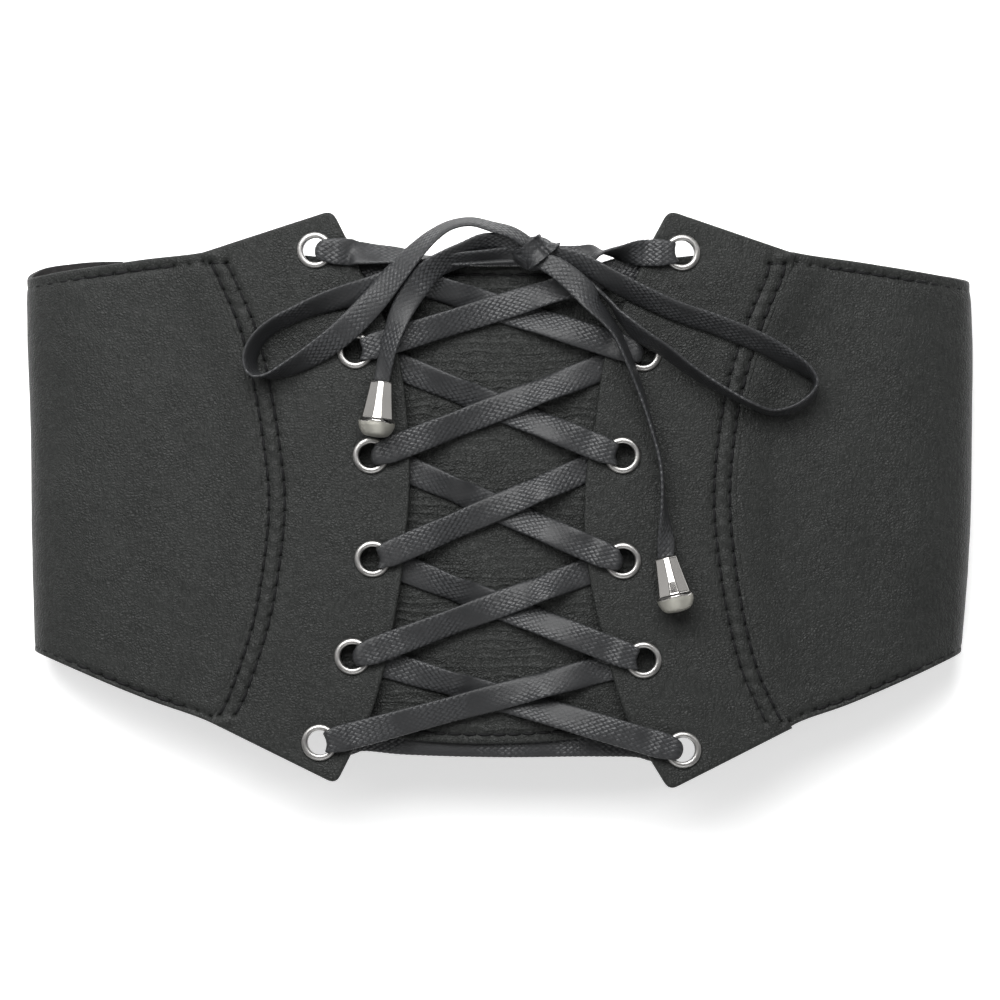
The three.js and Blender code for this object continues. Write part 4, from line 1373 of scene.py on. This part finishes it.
# Softboxes, all aimed at the belt: name, place, width and height, power
SOFTBOXES = (
    ("upper_softbox", (-0.45, 1.5, 1.5), (2.0, 0.8), 30),
    ("left_softbox", (-1.35, 0.62, 1.3), (0.35, 0.9), 2.2),
    ("right_softbox", (1.35, 0.62, 1.3), (0.35, 0.9), 1.8),
    ("lower_softbox", (0.0, -1.3, 1.2), (1.6, 0.9), 7),
    ("middle_softbox", (-0.09, 0.42, 0.72), (0.8, 0.4), 6.2),
    ("left_card", (-1.5, 0.3, 0.30), (0.9, 0.5), 0.8),
    ("right_card", (1.5, 0.3, 0.30), (0.9, 0.5), 0.7),
)
SOFTBOX_AIM = (0, 0, 0.03)
SKY = ((0.0, 0.12), (0.30, 0.18), (0.80, 0.13))  # brightness of the room by height over the horizon
FLOOR_GLOW = 0.50
FLOOR_HALF = 2.0
FLOOR_Z = -0.0004
VIEWED_HEIGHT = 0.036  # height at which the camera's field is as wide as its setting says


def add_room():
    """The world: pale walls under a dim ceiling."""
    world = bpy.data.worlds.new("studio")
    world.use_nodes = True
    tree = world.node_tree
    view = tree.nodes.new("ShaderNodeTexCoord").outputs["Generated"]
    feed(tree, tree.nodes["Background"], color=ramp(tree, axes(tree, view)["Z"], *SKY))
    bpy.context.scene.world = world


class BELT_OT_add_stage(bpy.types.Operator):
    """Adds the floor, the lights and the camera over the belt's front"""

    bl_idname = "wide_belt.add_stage"
    bl_label = "Stage"

    def execute(self, context):
        settings = context.scene.belt_stage
        corners = ((-1, -1), (1, -1), (1, 1), (-1, 1))
        corners = [(x * FLOOR_HALF, y * FLOOR_HALF, FLOOR_Z) for x, y in corners]
        floor = new_piece("floor", corners, [(0, 1, 2, 3)], [floor_finish()])
        for name, place, size, power in SOFTBOXES:
            add_light(name, place, SOFTBOX_AIM, size, power)
        add_room()
        context.scene.view_settings.view_transform = "Standard"
        camera = bpy.data.cameras.new("camera")
        camera.sensor_width = 36
        camera.lens = camera.sensor_width * settings.distance / settings.field
        camera.clip_start = 0.05
        camera.clip_end = 20
        placed = bpy.data.objects.new("camera", camera)
        placed.location = (0, 0, VIEWED_HEIGHT + settings.distance)
        context.scene.collection.objects.link(placed)
        context.scene.camera = placed
        return {"FINISHED"}


BELL_TUCK = 0.0016  # how far a tail goes into its bell


class BELT_OT_add_bow(bpy.types.Operator):
    """Adds the bow's two loops and two tails"""

    bl_idname = "wide_belt.add_bow"
    bl_label = "Bow"

    def execute(self, context):
        step = context.scene.belt_lace.step
        for name, rows in BOW.items():
            part, side = name.split("_")
            tail = part == "tail"
            route = free_route(rows, step, bell_place(side, BELL_TUCK) if tail else None)
            piece = lace_piece(f"bow_{name}", lace_net(route))
            dress(piece, "lace", name)
        return {"FINISHED"}


class BELT_OT_add_lacing(bpy.types.Operator):
    """Adds the lace through the twelve eyelets"""

    bl_idname = "wide_belt.add_lacing"
    bl_label = "Lacing"

    def execute(self, context):
        first = lace_half("right", -1, TOP_BARS["left"])
        second = lace_half("left", 1, TOP_BARS["right"])
        middle = (first[0] + second[0]) / 2
        bar = [[*over_flap(x, y, LACE_BEHIND_PANEL), *middle[3:]] for x, y in np.array(BOTTOM_BAR)]
        route = smooth_line(np.vstack([first[::-1], bar, second]), context.scene.belt_lace.step, 3)
        dress(lace_piece("lace_run", lace_net(route)), "lace", "lacing")
        return {"FINISHED"}


# The knot's lump of gathered lace: rings and spokes of its net, its folds and its dents
KNOT_NET = (30, 60)
KNOT_FOLDS = {"count": 5, "twist": 3, "depth": 0.05}
KNOT_DENTS = {"depth": 0.02, "size": 0.6, "seed": 6}
# The turn of lace over it: its middle from the knot's, slant in degrees, radii across and up
WRAP_SHIFT = (0.0005, 0.0005, 0.0003)
WRAP_SLANT = 48
WRAP_RADII = (0.0053, 0.0050)
WRAP_WIDTH = 0.0074
WRAP_POINTS = 96
WRAP_ROUNDNESS = 0.85  # below 1 its path is squarer than an ellipse
WRAP_CREASE = {"angle": 1.25, "spread": 0.16, "depth": 0.0008}  # across its top
WRAP_DRIFT = {"depth": 0.0004, "angle": -0.6}  # how its path winds out of its plane
WRAP_TWIST = 0.18  # how far its width turns out of level, and how far it skews at its upper side
WRAP_SKEW = 0.62
WRAP_PINCH = 0.10  # share of its width that it loses at its sides
WRAP_CROWN = 0.0010  # how far the middle of its width is arched
WRAP_RIDGES = 0.00016
UP = np.array([0.0, 0.0, 1.0])


def wrap_route(centre):
    """The turn of lace over the knot. Its plane is turned by the slant from the Y-Z plane."""
    angle = np.linspace(0, 2 * math.pi, WRAP_POINTS, endpoint=False)
    axis = np.array([math.cos(math.radians(WRAP_SLANT)), -math.sin(math.radians(WRAP_SLANT)), 0.0])
    side = left_of(axis)
    crease = hollow(angle - WRAP_CREASE["angle"], WRAP_CREASE["depth"], WRAP_CREASE["spread"])
    out, up = (
        np.abs(part) ** WRAP_ROUNDNESS * np.sign(part) * radius
        for part, radius in zip((np.cos(angle), np.sin(angle)), WRAP_RADII))
    place = centre + out[:, None] * side + (up - crease)[:, None] * UP
    drift = WRAP_DRIFT["depth"] * np.cos(angle - WRAP_DRIFT["angle"])
    place += drift[:, None] * axis
    across = -axis + WRAP_TWIST * np.sin(2 * angle)[:, None] * UP
    across -= WRAP_SKEW * np.clip(np.cos(angle), 0, 1)[:, None] ** 2 * side
    width = WRAP_WIDTH * (1 - WRAP_PINCH * np.abs(np.cos(angle)) ** 2.5)
    return np.hstack([place, across, width[:, None], np.full((len(angle), 1), WRAP_CROWN)])


def knot_lump(centre):
    """Points, faces and braid coordinates of the knot's lump. Its folds run along X."""
    rings, sides = KNOT_NET
    polar = np.linspace(0, math.pi, rings)[:, None]
    angle = np.linspace(0, 2 * math.pi, sides, endpoint=False)[None]
    unit = np.stack([np.cos(polar) + 0 * angle, np.sin(polar) * np.cos(angle),
                     np.sin(polar) * np.sin(angle)], -1).reshape(-1, 3)
    turn = np.arctan2(unit[:, 2], unit[:, 1])
    folds = np.sin(KNOT_FOLDS["count"] * turn + KNOT_FOLDS["twist"] * unit[:, 0])
    swell = 1 + KNOT_FOLDS["depth"] * folds * (1 - unit[:, 0] ** 2)
    swell += KNOT_DENTS["depth"] * waves(unit, KNOT_DENTS["size"], KNOT_DENTS["seed"])
    points = centre + unit * (np.array(KNOT_SIZE) / 2) * swell[:, None]
    braid = np.stack([unit[:, 0] * KNOT_SIZE[0] / 2, turn * KNOT_SIZE[1] / 2, 0 * turn], 1)
    return points, tube_faces(rings, sides), braid


class BELT_OT_add_knot(bpy.types.Operator):
    """Adds the bow's knot: a lump of gathered lace under one slanting turn"""

    bl_idname = "wide_belt.add_knot"
    bl_label = "Knot"

    def execute(self, context):
        centre = over_flap(*np.array(KNOT_PLACE))
        wrap = lace_net(wrap_route(centre + WRAP_SHIFT), closed=True, ridges=WRAP_RIDGES)
        dress(lace_piece("bow_knot", knot_lump(centre), wrap), "lace", "knot")
        return {"FINISHED"}


def bell_place(side, along):
    """A place on a bell's axis, at a distance from its top."""
    top, bottom = (over_flap(*np.array(BELLS[side][end])) for end in ("top", "bottom"))
    return top + heading_of(top, bottom) * along


# Rows of a bell's skin by the distance from its top: the distance of its main facets, of its
# narrow top and bottom facets and of its side facets from its axis, and the bowl's radius.
BELL_ROWS = (
    (0.0, 0.0040, 0.0080, 0.0118, 0.0130, 0.0142, 0.0155, 0.0165, 0.0170, 0.0172),
    (0.0032, 0.0037, 0.00425, 0.0048, 0.0056, 0.0070, 0.0070, 0.0070, 0.0070, 0.0070),
    (0.0035, 0.0041, 0.0047, 0.0051, 0.0061, 0.0080, 0.0080, 0.0080, 0.0080, 0.0080),
    (0.0035, 0.0040, 0.0046, 0.0052, 0.0062, 0.0080, 0.0080, 0.0080, 0.0080, 0.0080),
    (0.0080, 0.0080, 0.0080, 0.0070, 0.00575, 0.00555, 0.0050, 0.0043, 0.0036, 0.0029),
)
# Turn of each facet in degrees, and its row in the table above
BELL_FACETS = (
    (90, 2), (270, 2), (50, 1), (130, 1), (230, 1), (310, 1), (12, 3), (168, 3), (192, 3), (348, 3),
)
BELL_MOUTH = ((0.0024, 0.0030), (0.0026, 0.0004), (0.0028, 0.0))  # radius and distance from the top
BELL_END = (0.0014, BELL_ROWS[0][-1] + 0.0002)
BELL_RINGS = 70
BELL_SPOKES = 192
BELL_SHARPNESS = 70  # of the edges between its facets
BELL_RIM = {"drop": 0.07, "length": 0.0006}
BOWL_SHARE = 0.985  # a point this near to the bowl's radius lies on the bowl


def bell_radius(along, angle):
    """Radius of a bell's skin, inside its facets and its bowl, with slightly rounded edges."""
    row = [np.interp(along, BELL_ROWS[0], column) for column in BELL_ROWS]
    near = (1 / row[4]) ** BELL_SHARPNESS + sum(
        (np.clip(np.cos(angle - math.radians(turn)), 0, 1) / row[k]) ** BELL_SHARPNESS
        for turn, k in BELL_FACETS)
    rim = 1 - BELL_RIM["drop"] * (1 - min(1.0, along / BELL_RIM["length"])) ** 2
    return rim * near ** (-1 / BELL_SHARPNESS)


def bell_on_bowl(along, angle):
    """Which points of a bell's skin, ring by ring, lie on its round bowl rather than on a facet."""
    bowl = np.interp(along, BELL_ROWS[0], BELL_ROWS[4])
    found = np.array([bell_radius(a, angle) >= BOWL_SHARE * b for a, b in zip(along, bowl)])
    return found & (along > BELL_ROWS[0][2])[:, None]


class BELT_OT_add_bells(bpy.types.Operator):
    """Adds the two eight-sided metal bells on the tails"""

    bl_idname = "wide_belt.add_bells"
    bl_label = "Bells"

    def execute(self, context):
        settings = context.scene.belt_metal
        finishes = [plating("bell_plate", settings.bell_colour, 0.12),
                    plating("bell_bowl_plate", settings.bowl_colour, 0.55)]
        for side in SIDES:
            axis = bell_place(side, 1.0) - bell_place(side, 0.0)
            tip = np.cross(axis, UP)
            tip /= np.linalg.norm(tip)
            angle, out = spokes(BELL_SPOKES, tip, np.cross(tip, axis))
            rings = [(radius + 0 * angle, along) for radius, along in BELL_MOUTH]
            rings += [(bell_radius(along, angle), along)
                      for along in np.linspace(0, BELL_ROWS[0][-1], BELL_RINGS)]
            rings.append((BELL_END[0] + 0 * angle, BELL_END[1]))
            points = [bell_place(side, along) + radius[:, None] * out for radius, along in rings]
            ends = [bell_place(side, BELL_MOUTH[0][1]), bell_place(side, BELL_END[1])]
            faces = tube_faces(len(rings), BELL_SPOKES)
            end = len(rings) * BELL_SPOKES
            last = end - BELL_SPOKES
            for k in range(BELL_SPOKES):
                m = (k + 1) % BELL_SPOKES
                faces += [(end, m, k), (last + k, last + m, end + 1)]
            piece = new_piece(f"lace_bell_{side}", np.vstack([*points, ends]), faces, finishes)
            on_bowl = bell_on_bowl(np.array([along for _, along in rings]), angle)
            on_bowl[-1] = True
            on_bowl = np.append(on_bowl.ravel(), [False, True])
            for face in piece.data.polygons:
                face.material_index = int(all(on_bowl[v] for v in face.vertices))
            fix_normals(piece)
            dress(piece, "bell_metal", f"bell_{side}")
        return {"FINISHED"}


# Unevenness of the leather: depth, width of a feature, seed of its waves
UNEVEN = {
    "gathers": (0.3, 0.006, 11),
    "lap": (0.00010, 0.005, 12),
    "flap": (0.00008, 0.028, 13),
    "side": (0.00016, 0.030, 21),
    "side_fine": (0.00004, 0.011, 22),
    "panel": (0.00005, 0.012, 31),
}
GATHER_DEPTH = 0.45  # share of the seam's puff that each stitch gathers
TOP_ROW_SHARE = 0.5  # the short row across a seam's top sinks less than its long rows
LAP_PRESS = (0.0003, 0.0011)  # depth and reach of the leather pressed down along the lap's edge
LAP_ROUNDING = 0.6
FLANGE_PRESS = (0.00018, 0.0012)  # and of the leather pressed down round an eyelet's flange
RIM_CALM = 0.006  # unevenness fades out over this distance from the rim
# A side panel's rows sink less round the fold, up to a length round the loop
FOLD_GROOVES = {"share": 0.3, "from": 0.045, "to": 0.065}
# The panel rises to meet the flap's edge: how far under the edge it stays up, and how far outside
# it the rise starts. Farther under the flap it sinks a little.
LAP_MEETS = (0.0012, 0.013)
UNDER_LAP_SINK = 0.00012
SIDE_LAP_CALM = 0.012
SIDE_RIM_CALM = 0.008
PANEL_GROOVE_SHARE = 0.6
PANEL_SINK = 0.0001


def uneven(points, kind):
    depth, size, seed = UNEVEN[kind]
    return depth * waves(points, size, seed)


def calm(distance, reach):
    """A share that rises evenly from 0 to 1 over a reach."""
    return np.clip(distance / reach, 0, 1)


class BELT_OT_add_flaps(bpy.types.Operator):
    """Adds the two eyelet flaps with the double-stitched seams beside them"""

    bl_idname = "wide_belt.add_flaps"
    bl_label = "Flaps"

    def execute(self, context):
        leather = context.scene.belt_leather
        pitch = context.scene.belt_stitch.pitch
        for side in SIDES:
            outline = flap_outline(side)
            holes = [circle(eyelet, HOLE_RADIUS) for eyelet in EYELETS[side]]
            rows = lap_rows(side)
            lap = edge_line(LAP_EDGE, side)

            def relief(net, from_rim, rows=rows, lap=lap, side=side):
                found = seam_relief(net, rows[:2], pitch, leather.groove)
                found += TOP_ROW_SHARE * seam_relief(net, rows[2:], pitch, leather.groove)
                from_lap = rim_distance(net, lap, closed=False)
                share = (from_lap - LAP_ROWS[0]) / (LAP_ROWS[1] - LAP_ROWS[0])
                gathers = 1 + GATHER_DEPTH * np.sin(net[:, 1] * 2 * math.pi / pitch)
                gathers += uneven(net, "gathers")
                found += leather.puff * np.sin(math.pi * share.clip(0, 1)) * gathers
                press, reach = LAP_PRESS
                found += hollow(from_lap, uneven(net, "lap") - press, reach)
                found += LAP_ROUNDING * rounding(from_lap, leather.edge_round)
                from_eyelet = point_distance(net, np.array(EYELETS[side]))
                found -= hollow(from_eyelet - FLANGE_RADIUS, *FLANGE_PRESS)
                return found + uneven(net, "flap") * calm(from_rim, RIM_CALM)

            piece = leather_piece(
                f"front_flap_{side}", outline, holes, over_crown, (FLAP_INNER, FLAP_OUTER), relief,
                leathers("pebbled_leather"), rows)
            dress(piece, "leather", f"flap_{side}")
            width, length, area = outline_size(outline, holes)
            sew(f"seam_stitches_{side}", rows, over_crown, FLAP_OUTER - leather.groove)
        return {"FINISHED"}


class BELT_OT_add_sides(bpy.types.Operator):
    """Adds the two side panels that fold round to the back"""

    bl_idname = "wide_belt.add_sides"
    bl_label = "Side panels"

    def execute(self, context):
        leather = context.scene.belt_leather
        pitch = context.scene.belt_stitch.pitch
        for side in SIDES:
            outline = side_outline(side)
            rows = side_rows(side)
            place = round_fold(side)
            lap = line_length(edge_line(LAP_EDGE, side))

            def relief(net, from_rim, rows=rows, lap=lap):
                fold, start, end = FOLD_GROOVES.values()
                found = seam_relief(net, rows, pitch, leather.groove)
                found *= fold + (1 - fold) * smooth_share(net[:, 0], start, end)
                from_lap = rim_distance(net, lap, closed=False)
                outside = net[:, 0] < np.interp(-net[:, 1], -lap[:, 1], lap[:, 0])
                meets = LAP_STEP * (1 - smooth_share(from_lap, 0, LAP_MEETS[1]))
                found += np.where(outside | (from_lap < LAP_MEETS[0]), meets, -UNDER_LAP_SINK)
                soft = calm(from_lap, SIDE_LAP_CALM) * outside * calm(from_rim, SIDE_RIM_CALM)
                return found + soft * (uneven(net * [1.0, 0.45], "side") + uneven(net, "side_fine"))

            piece = leather_piece(
                f"side_panel_{side}", outline, [], place, (-LEATHER, 0.0), relief,
                leathers("pebbled_leather"), rows)
            dress(piece, "leather", f"side_{side}")
            width, length, area = outline_size(outline, [])
            sew(f"edge_stitches_{side}", rows, place, -leather.groove)
        return {"FINISHED"}


class BELT_OT_add_panel(bpy.types.Operator):
    """Adds the panel behind the lacing"""

    bl_idname = "wide_belt.add_panel"
    bl_label = "Panel behind the lacing"

    def execute(self, context):
        groove = PANEL_GROOVE_SHARE * context.scene.belt_leather.groove
        pitch = context.scene.belt_stitch.pitch
        outline = panel_outline()
        rows = panel_rows()

        def relief(net, from_rim):
            dents = uneven(net * [0.6, 1.0], "panel") - PANEL_SINK
            return seam_relief(net, rows, pitch, groove) + calm(from_rim, RIM_CALM) * dents

        piece = leather_piece(
            "centre_panel", outline, [], over_crown, (PANEL_INNER, PANEL_OUTER), relief,
            leathers("panel_leather", PANEL_RELIEF, PANEL_WRINKLES), rows)
        dress(piece, "leather", "modesty_panel")
        width, length, area = outline_size(outline, [])
        sew("panel_stitches", rows, over_crown, PANEL_OUTER - groove)
        return {"FINISHED"}


# The elastic's net: columns across it and rows for each rib
ELASTIC_COLUMNS = 100
ELASTIC_PER_RIB = 5
ELASTIC_EDGE_ROUND = 0.0006
ELASTIC_THREAD = 0.0008  # from one cross thread to the next
ELASTIC_LIFT = LEATHER + GAP
# X and lift over the floor on the right half: the elastic's ends lie inside the side panels' ends,
# and its middle on the floor.
ELASTIC_KNEE = (
    (LEATHER_BACK_END - 0.009, 0.0), (LEATHER_BACK_END - 0.0015, ELASTIC_LIFT),
    (ELASTIC_END + 0.003, ELASTIC_LIFT),
)


class BELT_OT_add_back_band(bpy.types.Operator):
    """Adds the ribbed elastic at the back"""

    bl_idname = "wide_belt.add_back_band"
    bl_label = "Elastic back"

    def execute(self, context):
        settings = context.scene.belt_elastic
        ribs = round((ELASTIC_LEFT[0] - ELASTIC_LEFT[1]) / settings.rib)
        knee = np.array([(-x, lift) for x, lift in ELASTIC_KNEE[::-1]] + [*ELASTIC_KNEE])
        x = np.linspace(-ELASTIC_END, ELASTIC_END, ELASTIC_COLUMNS)
        x = np.unique(np.concatenate([x, knee[1:-1, 0]]))
        rows, columns = ribs * ELASTIC_PER_RIB + 1, len(x)
        lift = np.interp(x, *knee.T)
        share = np.linspace(0, 1, rows)[:, None]
        top, bottom = (np.interp(x, (-ELASTIC_END, ELASTIC_END), ends)
                       for ends in zip(ELASTIC_LEFT, ELASTIC_RIGHT))
        top += ELASTIC_RISE * (1 - (x / ELASTIC_END) ** 2)
        y = bottom + share * (top - bottom)
        rib = settings.relief * np.abs(np.sin(math.pi * share * ribs)) + 0 * y
        slim = rounding(np.minimum(share, 1 - share) * (top - bottom), ELASTIC_EDGE_ROUND)
        hollows = settings.relief - rib + slim
        points = np.vstack([
            np.stack([x * (1 + TAPER * y), y, z], -1).reshape(-1, 3)
            for z in (lift + ELASTIC_WALL - hollows, lift + hollows)])
        count = rows * columns
        index = np.arange(count).reshape(rows, columns)
        a, b, c, d = (part.ravel() for part in (
            index[:-1, :-1], index[:-1, 1:], index[1:, 1:], index[1:, :-1]))
        rim = np.concatenate([index[0], index[1:, -1], index[-1, -2::-1], index[-2:0:-1, 0]])
        following = np.roll(rim, -1)
        faces = np.vstack([
            np.stack([a, b, c, d], 1), np.stack([a, d, c, b], 1) + count,
            np.stack([rim, rim + count, following + count, following], 1)])
        piece = new_piece("elastic_back", points, faces.tolist(), [elastic_finish()])
        fix_normals(piece)
        dress(piece, "elastic", "back_band")
        return {"FINISHED"}


# Radius and height of an eyelet's section, over the flap's outer face.
EYELET_BACK = -LEATHER - 0.00025
EYELET_PROFILE = (
    (BORE_RADIUS, EYELET_BACK - BACK_FLANGE), (BORE_RADIUS, -0.0010), (0.00384, 0.00040),
    (0.00386, 0.00066), (0.00396, 0.00086), (0.00418, 0.00098), (0.00450, FLANGE_TOP),
    (0.00486, 0.00104), (0.00520, 0.00096), (0.00549, 0.00078), (0.00568, 0.00050),
    (FLANGE_RADIUS, 0.00018), (0.00572, 0.00002), (0.00540, -0.00004), (0.00450, -0.00004),
    (0.00440, -0.00015), (0.00440, EYELET_BACK + 0.0001), (0.00450, EYELET_BACK),
    (0.00515, EYELET_BACK), (0.00530, EYELET_BACK - 0.0002), (0.00515, EYELET_BACK - BACK_FLANGE),
)
EYELET_SPOKES = 56


class BELT_OT_add_eyelets(bpy.types.Operator):
    """Adds the twelve eyelets"""

    bl_idname = "wide_belt.add_eyelets"
    bl_label = "Eyelets"

    def execute(self, context):
        settings = context.scene.belt_metal
        finish = plating("eyelet_plate", settings.eyelet_colour, 0.38)
        faces = tube_faces(len(EYELET_PROFILE), EYELET_SPOKES, closed=True)
        for side in SIDES:
            for number, (x, y) in enumerate(EYELETS[side], 1):
                normal = crown_normal(x)
                tangent = np.array([normal[2], 0, -normal[0]])
                _, out = spokes(EYELET_SPOKES, tangent, np.array([0, 1, 0]))
                points = [over_flap(x, y, 0.0) + out * radius + normal * height
                          for radius, height in EYELET_PROFILE]
                piece = new_piece(f"ring_{side}_{number}", np.vstack(points), faces, [finish])
                fix_normals(piece)
                dress(piece, "eyelet_metal", f"eyelet_{side}_{number}")
        return {"FINISHED"}


class BELT_PT_pieces(bpy.types.Panel):
    """Lists the belt's pieces and their settings"""

    bl_idname = "BELT_PT_pieces"
    bl_label = "Wide Lace-Up Belt"
    bl_space_type = "VIEW_3D"
    bl_region_type = "UI"
    bl_category = "Belt"

    def draw(self, context):
        for operator in OPERATORS:
            self.layout.operator(operator.bl_idname)
        for name, group in SETTINGS.items():
            box = self.layout.box()
            for key in group.__annotations__:
                box.prop(getattr(context.scene, name), key)


SETTINGS = {
    "belt_leather": BeltLeatherSettings,
    "belt_stitch": BeltStitchSettings,
    "belt_lace": BeltLaceSettings,
    "belt_metal": BeltMetalSettings,
    "belt_elastic": BeltElasticSettings,
    "belt_stage": BeltStageSettings,
}
OPERATORS = (
    BELT_OT_add_stage, BELT_OT_add_bells, BELT_OT_add_bow, BELT_OT_add_lacing, BELT_OT_add_knot,
    BELT_OT_add_flaps, BELT_OT_add_sides, BELT_OT_add_panel, BELT_OT_add_back_band,
    BELT_OT_add_eyelets,
)


def register():
    for name, group in SETTINGS.items():
        bpy.utils.register_class(group)
        setattr(bpy.types.Scene, name, bpy.props.PointerProperty(type=group))
    for operator in OPERATORS:
        bpy.utils.register_class(operator)
    bpy.utils.register_class(BELT_PT_pieces)


def unregister():
    bpy.utils.unregister_class(BELT_PT_pieces)
    for operator in reversed(OPERATORS):
        bpy.utils.unregister_class(operator)
    for name, group in SETTINGS.items():
        delattr(bpy.types.Scene, name)
        bpy.utils.unregister_class(group)


def main():
    register()
    bpy.ops.wide_belt.add_stage()
    bpy.ops.wide_belt.add_bells()
    bpy.ops.wide_belt.add_bow()
    bpy.ops.wide_belt.add_lacing()
    bpy.ops.wide_belt.add_knot()
    bpy.ops.wide_belt.add_flaps()
    bpy.ops.wide_belt.add_sides()
    bpy.ops.wide_belt.add_panel()
    bpy.ops.wide_belt.add_back_band()
    bpy.ops.wide_belt.add_eyelets()


if __name__ == "__main__":
    main()
